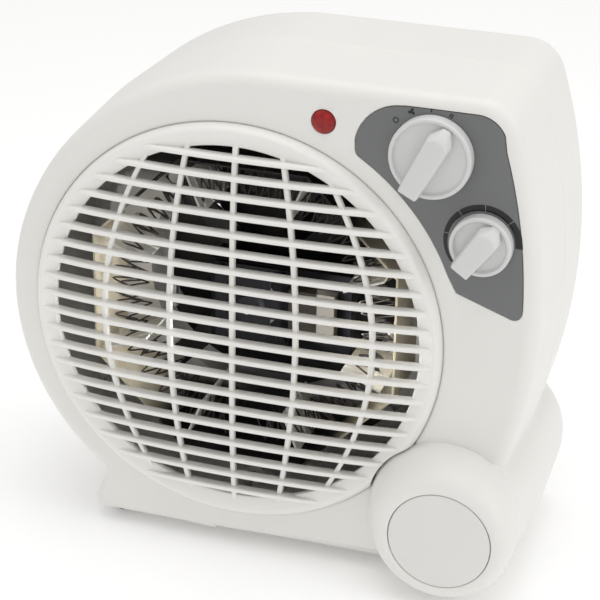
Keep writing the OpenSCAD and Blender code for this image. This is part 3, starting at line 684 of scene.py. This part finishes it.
def plate_outline(shrink):
    """The control plate's outline, which follows the outlet inside and the flank outside."""
    return np.concatenate([
        arc(0, 0, PLATE_IN_R + shrink, 22.5, 57.6, 40),
        arc(RIGHT_X - 77.4, 90.3, 4.7 - shrink, 226, 174, 12),
        arc(RIGHT_X - 62, TOP_Z - 26.5, 20.5 - shrink, 171, 100, 24),
        [[RIGHT_X - 60.5, TOP_Z - 5.8 - shrink]],
        arc(RIGHT_X - 31, TOP_Z - 19, 13.2 - shrink, 90, 24, 24),
        arc(FLANK_X, FLANK_Z, PLATE_OUT_R - shrink, 17, 1, 24),
        arc(RIGHT_X - 10.9, 26.6, 3.8 - shrink, -10, -108, 16),
        [[RIGHT_X - 36 + shrink, 31.5 + shrink]]])


def recess_cutter(name, outline_of, depth, lip=0.45):
    """Cutter with a small rounded lip at the front face."""
    rows = []
    for y, shrink in ((-1, -lip - 0.4), (-0.02, -lip), (lip * 0.3, -lip * 0.3), (lip, 0), (depth, 0)):
        rows.append(np.insert(outline_of(shrink), 1, y, axis=1))
    return loft(name, rows, caps=True)


BUSH_HOLE_R = 5.5


def lamp_hole(shrink):
    """The outline of the hole for the lamp's lens."""
    return arc(LAMP_X, LAMP_Z, LAMP_R + 0.15 - shrink, 0, 360, 65)[:-1]


def make_front_shell():
    """The front half: rounded edge, flat face, a lip round the outlet and the inside behind it."""
    rows = [ring_at(shell_reach(SEAM_Y, DRAFT - 0.3), SEAM_Y)]
    depths = list(np.linspace(SEAM_Y - 0.35, EDGE_R, 26))
    depths += [EDGE_R * (1 - math.sin(a)) for a in np.radians(np.linspace(0, 90, 17))[1:]]
    for y in depths:
        rows.append(ring_at(shell_reach(y, front_grow(y), min(front_grow(y), y - EDGE_R)), y))
    face = shell_reach(0, front_grow(0), -EDGE_R)
    lip_r = RIM_OUT + 0.35
    rows.append(ring_at(face - 1.0, 0))
    for share in (0.3, 0.6, 0.85):
        rows.append(between(face, lip_r + 0.6, share, 0))
    for radius, y in ((lip_r + 1.5, 0), (lip_r + 0.9, 0.02), (lip_r + 0.5, 0.12), (lip_r + 0.2, 0.35),
                      (lip_r, 0.8), (lip_r, 3.4), (OUTLET_R - 3, 3.4), (OUTLET_R - 3, 8),
                      (lip_r + WALL, 8), (lip_r + WALL, WALL)):
        rows.append(ring_at(np.full(len(THETA), radius), y))
    inside = lambda y: inner_reach(y, front_grow(y, EDGE_R - WALL, -WALL, WALL))
    rows.append(between(inside(WALL), lip_r + WALL, 0.5, WALL))
    curve = WALL + (EDGE_R - WALL) * (1 - np.sin(np.radians(np.linspace(90, 0, 7))))
    for y in list(curve) + [20, 33, SEAM_Y]:
        rows.append(ring_at(inside(y), y))
    shell = loft("housing_front", rows, wrap_rows=True)
    cut(shell, recess_cutter("plate_recess", plate_outline, PLATE_T))
    cut(shell, recess_cutter("lamp_hole", lamp_hole, 9, 0.35))
    for x, z in ((MODE_X, MODE_Z), (THERMO_X, THERMO_Z)):
        cut(shell, prism("bush_hole", arc(x, z, BUSH_HOLE_R, 0, 360, 49)[:-1], -1, 12))
    return dress(shell, "housing", IVORY, "ivory_plastic", "front_shell", angle=28)


make_front_shell()


# ---------------------------------------------------------------- rear half of the housing
INTAKE_R = 62.0
CASE_SCREWS = [(-92, 45), (-80, -62), (-6, -101.5), (52, TOP_Z - 13.5),
               (RIGHT_X - 13.5, TOP_Z - 29.5), (RIGHT_X - 12.5, 0)]
GLAND_X, GLAND_Z, GLAND_R = 96.0, -62.0, 7
WELL_R, WELL_IN_R, SCREW_HOLE_R = 5, 3.5, 1.8


def make_screw_well(x, z):
    """A tube from the back wall to the seam that takes a case screw; it narrows in the rounded edge."""
    y0, y1 = SEAM_Y + 0.1, DEPTH - 1
    tube = [(WELL_IN_R, y1), (WELL_IN_R + 0.2, y1), (WELL_R, DEPTH - 14), (WELL_R, y0), (SCREW_HOLE_R, y0),
            (SCREW_HOLE_R, SEAM_Y + 6), (WELL_IN_R, SEAM_Y + 6)]
    return turned("well", x, z, tube, 40)


def make_rear_shell():
    """The rear half: rounded edge, flat back with the air intake, screw wells and the cord inlet."""
    rows = [ring_at(shell_reach(SEAM_Y, DRAFT - 0.3), SEAM_Y)]
    depths = list(np.linspace(SEAM_Y + 0.35, DEPTH - EDGE_R, 28))
    depths += [DEPTH - EDGE_R * (1 - math.sin(a)) for a in np.radians(np.linspace(0, 90, 15))[1:]]
    for y in depths:
        rows.append(ring_at(shell_reach(y, rear_grow(y)), y))
    face = shell_reach(DEPTH, rear_grow(DEPTH))
    rows.append(ring_at(face - 1.0, DEPTH))
    for share in (0.3, 0.6, 0.85):
        rows.append(between(face, INTAKE_R, share, DEPTH))
    for radius, y in ((INTAKE_R + 0.5, DEPTH), (INTAKE_R + 0.15, DEPTH - 0.15), (INTAKE_R, DEPTH - 0.5),
                      (INTAKE_R, DEPTH - WALL)):
        rows.append(ring_at(np.full(len(THETA), radius), y))
    inside = lambda y: inner_reach(y, rear_grow(y, EDGE_R - WALL, -WALL, DEPTH - WALL))
    rows.append(between(inside(DEPTH - WALL), INTAKE_R, 0.5, DEPTH - WALL))
    curve = DEPTH - WALL - (EDGE_R - WALL) * (1 - np.sin(np.radians(np.linspace(90, 0, 7))))
    for y in list(curve) + [75, 60, SEAM_Y]:
        rows.append(ring_at(inside(y), y))
    shell = loft("rear_half", rows, wrap_rows=True)
    for x, z in CASE_SCREWS:
        rings = []
        for y, shrink in ((DEPTH + 1, -0.9), (DEPTH, -0.4), (DEPTH - 0.4, 0), (DEPTH - 20, 0)):
            rings.append(np.insert(arc(x, z, WELL_IN_R - shrink, 0, 360, 41)[:-1], 1, y, axis=1))
        cut(shell, loft("screw_hole", rings, caps=True))
    gland_hole = arc(GLAND_X, GLAND_Z, GLAND_R, 0, 360, 65)[:-1]
    cut(shell, prism("gland_hole", gland_hole, DEPTH - WALL - 4, DEPTH + 1))
    wells = [make_screw_well(x, z) for x, z in CASE_SCREWS]
    bars = intake_bars()
    rear = join("housing_rear", [shell, bars, *wells])
    return dress(rear, "housing", IVORY, "ivory_plastic", "rear_shell", angle=28)


def intake_bars():
    """Level bars and three upright ribs across the round intake."""
    parts = []
    y0, y1 = DEPTH - WALL, DEPTH
    for i in range(-8, 8):
        z = (i + 0.5) * 8
        low, high = z - 2, z + 2
        near = min(abs(low), abs(high))
        half = math.sqrt(max(0, (INTAKE_R + 0.6) ** 2 - near**2))
        if abs(z) > INTAKE_R - 2:
            continue
        section = fillet([(y0, low), (y1, low), (y1, high), (y0, high)], [0.2, 0.7, 0.7, 0.2], 4)
        rows = []
        for x in np.linspace(-half, half, 3):
            rows.append(np.array([[x, p[0], p[1]] for p in section]))
        parts.append(loft("bar", rows, caps=True))
    for x in (-30, 0, 30):
        half = math.sqrt(INTAKE_R**2 - x * x)
        section = fillet([(x - 1.5, y0), (x + 1.5, y0), (x + 1.5, y1 - 0.15), (x - 1.5, y1 - 0.15)],
                         [0.2, 0.2, 0.5, 0.5], 3)
        rows = [np.array([[p[0], p[1], z] for p in section]) for z in (-half, half)]
        parts.append(loft("rib", rows, caps=True))
    return join("intake", parts)


make_rear_shell()


# ---------------------------------------------------------------- outlet grille
def dome(r):
    """How far the dome stands out in front of the face at a radius."""
    return DOME_H * (1 - 0.2 * (r / OUTLET_R) ** 2 - 0.449 * (r / OUTLET_R) ** 4)


def rib_x(x0, z):
    """Where a rib that crosses the middle at x0 lies at a height; ribs bow outwards."""
    return x0 * (1 - (0.2 + 0.5 * abs(x0) / OUTLET_R) * (z / OUTLET_R) ** 2)


def ease(value, low, high):
    """Rises smoothly from 0 to 1 between low and high."""
    t = np.clip((value - low) / (high - low), 0, 1)
    return t * t * (3 - 2 * t)


def domed(points):
    """Moves points (x, depth behind the dome, z) onto the dome."""
    points = np.asarray(points, float)
    r = np.hypot(points[:, 0], points[:, 2])
    points[:, 1] -= dome(r)
    return points


def make_slat(z):
    """One level slat; its ends sink into the rim."""
    half = math.sqrt((RIM_TOP + 1.2) ** 2 - z * z)
    end = 14
    xs = np.concatenate([np.linspace(-half, -half + end, 12)[:-1],
                         np.linspace(-half + end, half - end, 60)[:-1],
                         np.linspace(half - end, half, 12)])
    low, high = -SLAT_T / 2, SLAT_T / 2
    section = fillet([(low, SLAT_DEPTH), (low - 0.12, 0), (high + 0.12, 0), (high, SLAT_DEPTH)],
                     [0.2, 1.05, 1.0, 0.2], 5)
    rows = []
    for x in xs:
        r = math.hypot(x, z)
        sink = 1.1 * float(ease(r, RIM_TOP - 4.5, RIM_TOP + 1.2))
        back = float(ease(r, RIM_IN, RIM_IN + 3)) * 0.6
        squeeze = (SLAT_DEPTH - sink - back) / SLAT_DEPTH
        rows.append(domed([[x, sink + depth * squeeze, z + dz] for dz, depth in section]))
    return loft("slat", rows, caps=True)


def make_rib(x0):
    """One upright rib behind the slats' front edges."""
    reach = math.sqrt(RIM_OUT**2 - (0.55 * x0) ** 2) - 4
    zs = np.linspace(-reach, reach, 90)
    section = fillet([(-RIB_W / 2, SLAT_DEPTH), (-RIB_W / 2, RIB_RECESS), (RIB_W / 2, RIB_RECESS),
                      (RIB_W / 2, SLAT_DEPTH)], [0.2, 0.7, 0.7, 0.2], 4)
    rows = []
    for z in zs:
        x = rib_x(x0, z)
        r = math.hypot(x, z)
        if r > RIM_IN + 5:
            continue
        rows.append(domed([[x + dx, h, z] for dx, h in section]))
    return loft("rib", rows, caps=True)


def make_rim():
    """The rim slopes back between the slats, rolls over and meets the housing's lip on a sunk ledge."""
    steps = 360
    slope = lambda r: RIM_RECESS + (0.2 - RIM_RECESS) * (r - RIM_IN) / (RIM_TOP - RIM_IN)
    high = dome(RIM_IN)
    profile = [(RIM_IN, SLAT_DEPTH + 1 - high), (RIM_IN, RIM_RECESS + 0.4 - high),
               (RIM_IN + 0.12, RIM_RECESS + 0.12 - high), (RIM_IN + 0.4, slope(RIM_IN + 0.4) - high)]
    profile += [(r, slope(r) - dome(r)) for r in np.linspace(RIM_IN + 1, RIM_TOP - 1, 7)]
    top = 0.2 - dome(RIM_TOP)
    for a in np.radians(np.linspace(0, 90, 10)):
        profile.append((RIM_TOP + (RIM_OUT - RIM_TOP) * math.sin(a), top + (0.9 - top) * (1 - math.cos(a))))
    ledge = RIM_OUT + 0.35
    profile += [(RIM_OUT, 1.15), (ledge, 1.25), (ledge, 3.0), (RIM_OUT - 4.2, 3.0)]
    angles = np.radians(np.arange(steps) * 360 / steps)
    rows = [np.stack([r * np.cos(angles), np.full(steps, y), r * np.sin(angles)], 1) for r, y in profile]
    return loft("rim", rows, wrap_rows=True)


def make_grille():
    """Slats, ribs and rim in one piece, cut away round the corner foot's nose."""
    nose_spot = place([FOOT_X, 0, FOOT_Z])
    parts = [make_rim()]
    parts += [make_slat((i - (SLATS - 1) / 2) * SLAT_PITCH) for i in range(SLATS)]
    parts += [make_rib(x0 * OUTLET_R) for x0 in RIBS]
    for part in parts:
        reach = [math.hypot(v.co.x - nose_spot[0], v.co.z - nose_spot[2]) for v in part.data.vertices]
        if min(reach) < (FOOT_R + 3) * MM:
            cut(part, prism("nose_room", arc(FOOT_X, FOOT_Z, FOOT_R - 1.7, 0, 360, 129)[:-1], -30, 20))
    grille = join("grille", parts)
    return dress(grille, "housing", GRILLE, "grille_plastic", "outlet_grille", angle=40)


make_grille()


# ---------------------------------------------------------------- corner foot
def make_nose():
    """The hollow rounded nose in front of the corner foot; it leans out and down."""
    base_r = FOOT_R - 2.2
    top_r = CAP_R + 1.6
    curve = [(top_r + (base_r - top_r) * math.sin(a) ** 0.95, -0.6 - (NOSE - 0.6) * math.cos(a) ** 0.9)
             for a in np.radians(np.linspace(0, 89.9, 26))]
    lip = [(CAP_R + 0.4, -NOSE + 2.2), (CAP_R + 0.4, -NOSE + 0.4), (CAP_R + 0.55, -NOSE + 0.12),
           (CAP_R + 0.9, -NOSE + 0.01)]
    end = [(base_r, -0.1), (base_r - 0.15, 0.0), (base_r - 0.4, 0.0)]
    inner = [(base_r - WALL, 0.0), (base_r - 2.2 - WALL, -8), (24, -NOSE + 4.2), (CAP_R - 3, -NOSE + 4.2),
             (CAP_R - 3, -NOSE + 2.2)]
    nose = turned("nose", FOOT_X, FOOT_Z, lip + curve + end + inner, 220, LEAN)
    return dress(nose, "housing", IVORY, "ivory_plastic", "foot_nose", angle=30)


def make_cap():
    """The slightly domed round cap in the nose."""
    face = [(CAP_R * t, -NOSE - 1.5 * (1 - t * t)) for t in np.linspace(0, 0.96, 14)]
    face[0] = (0.001, face[0][1])
    edge = [(CAP_R - 0.35, -NOSE + 0.02), (CAP_R - 0.1, -NOSE + 0.15), (CAP_R, -NOSE + 0.45),
            (CAP_R, -NOSE + 2.2)]
    cap = turned("cap", FOOT_X, FOOT_Z, face + edge + [(0.001, -NOSE + 2.2)], 200, LEAN)
    return dress(cap, "housing", CAP, "ivory_plastic", "foot_cap", angle=30)


make_nose()
make_cap()


# ---------------------------------------------------------------- controls
def make_plate():
    """The grey plate behind the knobs, with softened edges and two bush holes."""
    rows = []
    for y, shrink in ((PLATE_T, 0.3), (0.35, 0.3), (0.18, 0.36), (0.1, 0.55)):
        rows.append(np.insert(plate_outline(shrink), 1, y, axis=1))
    plate = loft("plate", rows, caps=True)
    for x, z in ((MODE_X, MODE_Z), (THERMO_X, THERMO_Z)):
        cut(plate, prism("hole", arc(x, z, 4.5, 0, 360, 49)[:-1], -1, 3))
    return dress(plate, "housing", GREY, "grey_plastic", "control_plate", angle=30)


PRINT_Y0, PRINT_Y1 = 0.12, 0.03
HEAT_R = 16.9
GRIP_TAIL = 4.55
GRIP_TOP, GRIP_FOOT = -12.2, -3.8


def printed(name, outline_xz):
    """A thin raised print on the plate."""
    return prism(name, outline_xz, PRINT_Y0, PRINT_Y1)


def turned_to(points, x, z, angle):
    """Moves a mark drawn upright round 0, 0 to x, z and turns it clockwise by the angle."""
    a = math.radians(angle)
    points = np.asarray(points, float)
    return np.stack([x + points[:, 0] * math.cos(a) + points[:, 1] * math.sin(a),
                     z - points[:, 0] * math.sin(a) + points[:, 1] * math.cos(a)], 1)


def band(x, z, inner, outer, a0, a1, count=40):
    """Part of a ring, with radii that may change along it; angles clockwise from upright."""
    a = np.radians(np.linspace(a0, a1, count))
    outer_r, inner_r = np.interp(a, [a[0], a[-1]], outer), np.interp(a, [a[0], a[-1]], inner)
    out = np.stack([x + outer_r * np.sin(a), z + outer_r * np.cos(a)], 1)
    back = np.stack([x + inner_r * np.sin(a), z + inner_r * np.cos(a)], 1)[::-1]
    return np.concatenate([out, back])


def bar_mark(half_w, half_h, shift=0.0):
    """An upright bar for the power marks."""
    left, right = shift - half_w, shift + half_w
    return [(left, -half_h), (right, -half_h), (right, half_h), (left, half_h)]


def make_marks():
    """Off ring, fan, one bar and two bars round the mode knob, and a growing arc for heat."""
    marks = []
    spots = {"off": (-51.0, 20.9), "fan": (-28.8, 20.1), "one": (-4.3, 19.2), "two": (21.3, 19.2)}
    where = {k: (MODE_X + r * math.sin(math.radians(a)), MODE_Z + r * math.cos(math.radians(a)), a)
             for k, (a, r) in spots.items()}
    x, z, a = where["off"]
    for a0 in (0, 180):
        marks.append(printed("ring", band(x, z, (0.85, 0.85), (1.3, 1.3), a0, a0 + 180, 18)))
    x, z, a = where["fan"]
    for turn in (0, 120, 240):
        petal = [(0.15, 0.0), (0.9, 0.5), (1.0, 1.25), (0.2, 1.5), (-0.4, 1.0), (-0.3, 0.2)]
        marks.append(printed("petal", turned_to(petal, x, z, a + turn + 20)))
    x, z, a = where["one"]
    marks.append(printed("bar", turned_to(bar_mark(0.26, 0.75), x, z, a)))
    x, z, a = where["two"]
    for shift in (-0.48, 0.48):
        marks.append(printed("bar", turned_to(bar_mark(0.26, 0.95, shift), x, z, a + 8)))
    stops = [(-130, -82), (-82, -40.5), (-40.5, 1.0), (1.0, 47.0), (47.0, 93)]
    width = lambda angle: float(np.interp(angle, [-130, -82, -40, 93], [1.0, 2.0, 2.7, 3.2]))
    for a0, a1 in stops:
        inner = (HEAT_R - width(a0), HEAT_R - width(a1))
        heat = band(THERMO_X, THERMO_Z, inner, (HEAT_R, HEAT_R), a0 + 0.55, a1 - 0.55, 24)
        marks.append(printed("heat", heat))
    dress(join("dial_marks", marks), "housing", INK, "grey_plastic", angle=30)
    line = printed("line", band(THERMO_X, THERMO_Z, (14.35, 14.35), (14.6, 14.6), -118, 60, 80))
    ticks = []
    for a0 in (-82, -40.5, 1.0, 47.0):
        r = HEAT_R - width(a0)
        tick = band(THERMO_X, THERMO_Z, (r, r), (17.0, 17.0), a0 - 0.35, a0 + 0.35, 3)
        ticks.append(printed("tick", tick))
    dress(join("dial_lines", [line, *ticks]), "housing", PALE_INK, "grey_plastic", angle=30)


def make_knob(name, node, body, x, z, r, angle):
    """A dished round knob with a raised rim and a long pointed grip."""
    rim = fillet([(0.001, -4.0), (r - 2.4, -4.3), (r - 1.7, -5.9), (r - 0.5, -5.9), (r, -5.2), (r, -0.3),
                  (0.001, -0.3)],
                 [0, 0.9, 0.5, 0.5, 0.6, 0.2, 0], 5)
    disc = turned("disc", x, z, rim, 180)
    tail, shoulder, tip = -0.975 * r, 0.55 * r, 0.88 * r
    w0, w1, w2 = GRIP_TAIL, GRIP_TAIL + 0.75, 1.6
    slope = (tip - shoulder) * 0.3
    shape_top = [(-w0 + 0.35, tail + 0.5), (w0 - 0.35, tail + 0.5), (w1 - 0.45, shoulder - 0.3),
                 (w2, shoulder + slope), (-w2, shoulder + slope), (-w1 + 0.45, shoulder - 0.3)]
    shape_low = [(-w0, tail), (w0, tail), (w1, shoulder + 0.3),
                 (w2, tip), (-w2, tip), (-w1, shoulder + 0.3)]
    rows = []
    for y, shape in ((GRIP_FOOT, shape_low), (-8.2, shape_low), (GRIP_TOP, shape_top)):
        rows.append(np.insert(turned_to(shape, x, z, angle), 1, y, axis=1))
    grip = bevel(loft("grip", rows, caps=True), 0.75, 4, 18)
    knob = join(name, [disc, grip])
    return dress(knob, body, KNOB, "knob_plastic", node, angle=40)


def make_lens():
    """The signal lamp's low domed lens."""
    face = [(0.001, -1.6)] + [(LAMP_R * t, -1.6 + 1.5 * t ** 2.6) for t in np.linspace(0.1, 0.93, 12)]
    edge = [(LAMP_R - 0.12, 0.15), (LAMP_R - 0.05, 0.5), (LAMP_R - 0.05, 4), (LAMP_R - 1.2, 4),
            (LAMP_R - 1.2, 0.4), (0.001, -0.4)]
    lens = turned("lens", LAMP_X, LAMP_Z, face + edge, 96)
    return dress(lens, "housing", LENS, "red_lens", "lamp_lens", angle=30)


make_plate()
make_marks()
make_knob("mode_dial", "mode_knob", "mode_control", MODE_X, MODE_Z, MODE_R, MODE_A)
make_knob("heat_dial", "thermostat_knob", "thermostat_control", THERMO_X, THERMO_Z, THERMO_R, THERMO_A)
make_lens()


# ---------------------------------------------------------------- heating wires
TUBE_Y = 9.0
WIRE_ROWS = (TUBE_Y + 6, TUBE_Y + 15, TUBE_Y + 24)
WIRE_IN, WIRE_OUT, TEETH = 54.0, 64.5, 64
WIRE_FROM, WIRE_TO = -84.0, 264.0


def tube_along(name, path, radius, sides=8):
    """A round tube that follows a path of points."""
    path = np.asarray(path, float)
    along = np.gradient(path, axis=0)
    along /= np.linalg.norm(along, axis=1)[:, None]
    side = np.cross(along, np.array([0.0, 1.0, 0.0]))
    weak = np.linalg.norm(side, axis=1) < 0.2
    side[weak] = np.cross(along[weak], np.array([1.0, 0.0, 0.0]))
    side /= np.linalg.norm(side, axis=1)[:, None]
    up = np.cross(side, along)
    a = np.arange(sides) * 2 * math.pi / sides
    rows = [p + radius * (np.cos(a)[:, None] * s + np.sin(a)[:, None] * u)
            for p, s, u in zip(path, side, up)]
    return loft(name, rows, caps=True)


def crimped(y):
    """A zigzag of round wire with rounded bends, swaying a little in depth."""
    steps = TEETH * 14
    t = np.linspace(0, 1, steps + 1)
    a = np.radians(WIRE_FROM + (WIRE_TO - WIRE_FROM) * t)
    phase = t * TEETH * 2 * math.pi
    swing = np.arcsin(0.965 * np.cos(phase)) / math.asin(0.965)
    r = (WIRE_IN + WIRE_OUT) / 2 - swing * (WIRE_OUT - WIRE_IN) / 2
    sway = 0.25 * np.sin(phase)
    return tube_along("wire", np.stack([r * np.cos(a), y + sway, r * np.sin(a)], 1), 0.42)


low_wires = join("wire_low", [crimped(WIRE_ROWS[0])])
high_wires = join("wire_high", [crimped(y) for y in WIRE_ROWS[1:]])
dress(low_wires, "housing", WIRE, "heating_wire", "heating_wire_low", angle=60)
dress(high_wires, "housing", WIRE, "heating_wire", "heating_wire_high", angle=60)


# ---------------------------------------------------------------- fan
FAN_Y, FAN_T, FAN_R, HUB_R, BLADES = 59.0, 15.0, 58.0, 11.0, 5


def make_fan():
    """A round hub with five broad blades, each pitched and swept back, and overlapping its neighbour."""
    hub = fillet([(0.001, FAN_Y), (HUB_R, FAN_Y), (HUB_R, FAN_Y + FAN_T), (HUB_R - 2, FAN_Y + FAN_T),
                  (HUB_R - 2, FAN_Y + 3), (4.5, FAN_Y + 3), (4.5, FAN_Y + FAN_T), (0.001, FAN_Y + FAN_T)],
                 [0, 2, 0.3, 0.3, 0.5, 0.5, 0.3, 0], 4)
    parts = [turned("hub", 0, 0, hub, 96)]
    for blade in range(BLADES):
        rows = []
        for r in np.linspace(HUB_R - 1, FAN_R, 14):
            t = (r - HUB_R) / (FAN_R - HUB_R)
            lead = math.radians(blade * 360 / BLADES - 12 * t * t)
            span = math.radians(80 - 4 * t)
            front, back = [], []
            for u in np.linspace(0, 1, 16):
                a = lead + span * u
                y = FAN_Y + 1.2 + (FAN_T - 2.6) * (u * 0.85 + 0.15 * u * u)
                thick = 0.55 * math.sqrt(max(0.02, 1 - (2 * u - 1) ** 4))
                front.append((r * math.cos(a), y - thick, r * math.sin(a)))
                back.append((r * math.cos(a), y + thick, r * math.sin(a)))
            rows.append(np.array(front + back[::-1]))
        parts.append(loft("blade", rows, caps=True))
    return dress(join("fan_wheel", parts), "fan", BLACK, "black_plastic", "fan_impeller", angle=35)


make_fan()


# ---------------------------------------------------------------- studio
FILL_Y, FILL_AIM_Y, FILL_SIZE, FILL_SPREAD = 10, 30, 0.03, 100


def make_studio():
    """A pale floor, a white surround, four soft lights and two small ones for the element's sides."""
    size = 6.0
    floor_mesh = bpy.data.meshes.new("floor")
    z = cad_low.z
    corners = [(-size, -size, z), (size, -size, z), (size, size, z), (-size, size, z)]
    floor_mesh.from_pydata(corners, [], [(0, 1, 2, 3)])
    floor = bpy.data.objects.new("floor", floor_mesh)
    scene.collection.objects.link(floor)
    material, tree, shader, coords = node_material("floor_paint")
    soft = noise(tree, coords, 3, 2, 0.5)
    paint = blend_colours(tree, soft, (0.93, 0.93, 0.93), (0.96, 0.96, 0.96))
    tree.links.new(paint, shader.inputs["Base Color"])
    shader.inputs["Roughness"].default_value = 0.9
    shader.inputs["Emission Color"].default_value = (1, 1, 1, 1)
    shader.inputs["Emission Strength"].default_value = 0.12
    floor_mesh.materials.append(material)

    world = bpy.data.worlds.new("studio")
    scene.world = world
    world.use_nodes = True
    background = world.node_tree.nodes["Background"]
    background.inputs["Color"].default_value = (1.0, 0.995, 0.985, 1)
    background.inputs["Strength"].default_value = 0.66

    def area(name, spot, aim, width, power):
        """A square soft light at a spot that faces the aim."""
        data = bpy.data.lights.new(name, "AREA")
        data.shape = "RECTANGLE"
        data.size = width
        data.size_y = width
        data.energy = power
        light = bpy.data.objects.new(name, data)
        scene.collection.objects.link(light)
        light.location = spot
        light.rotation_euler = (Vector(spot) - Vector(aim)).to_track_quat("Z", "Y").to_euler()
        return light

    aim = (0, 0, 0.12)
    area("key", (-1.0, -1.1, 1.3), aim, 0.9, 0.9)
    area("front", (0.35, -1.7, 0.75), aim, 0.8, 0.4)
    area("top", (0.05, -0.05, 1.6), aim, 1.2, 8.5)
    area("side", (1.6, -0.2, 0.9), aim, 1.0, 4.6)
    for name, x, aim_x, power in (("left_fill", 10, -75, 0.018), ("right_fill", 35, 88, 0.024)):
        spot = Vector(place([x, FILL_Y, 0]))
        fill = area(name, spot, Vector(place([aim_x, FILL_AIM_Y, 0])), FILL_SIZE, power)
        fill.visible_camera = False
        fill.data.spread = math.radians(FILL_SPREAD)


make_studio()
scene.view_settings.view_transform = "Standard"
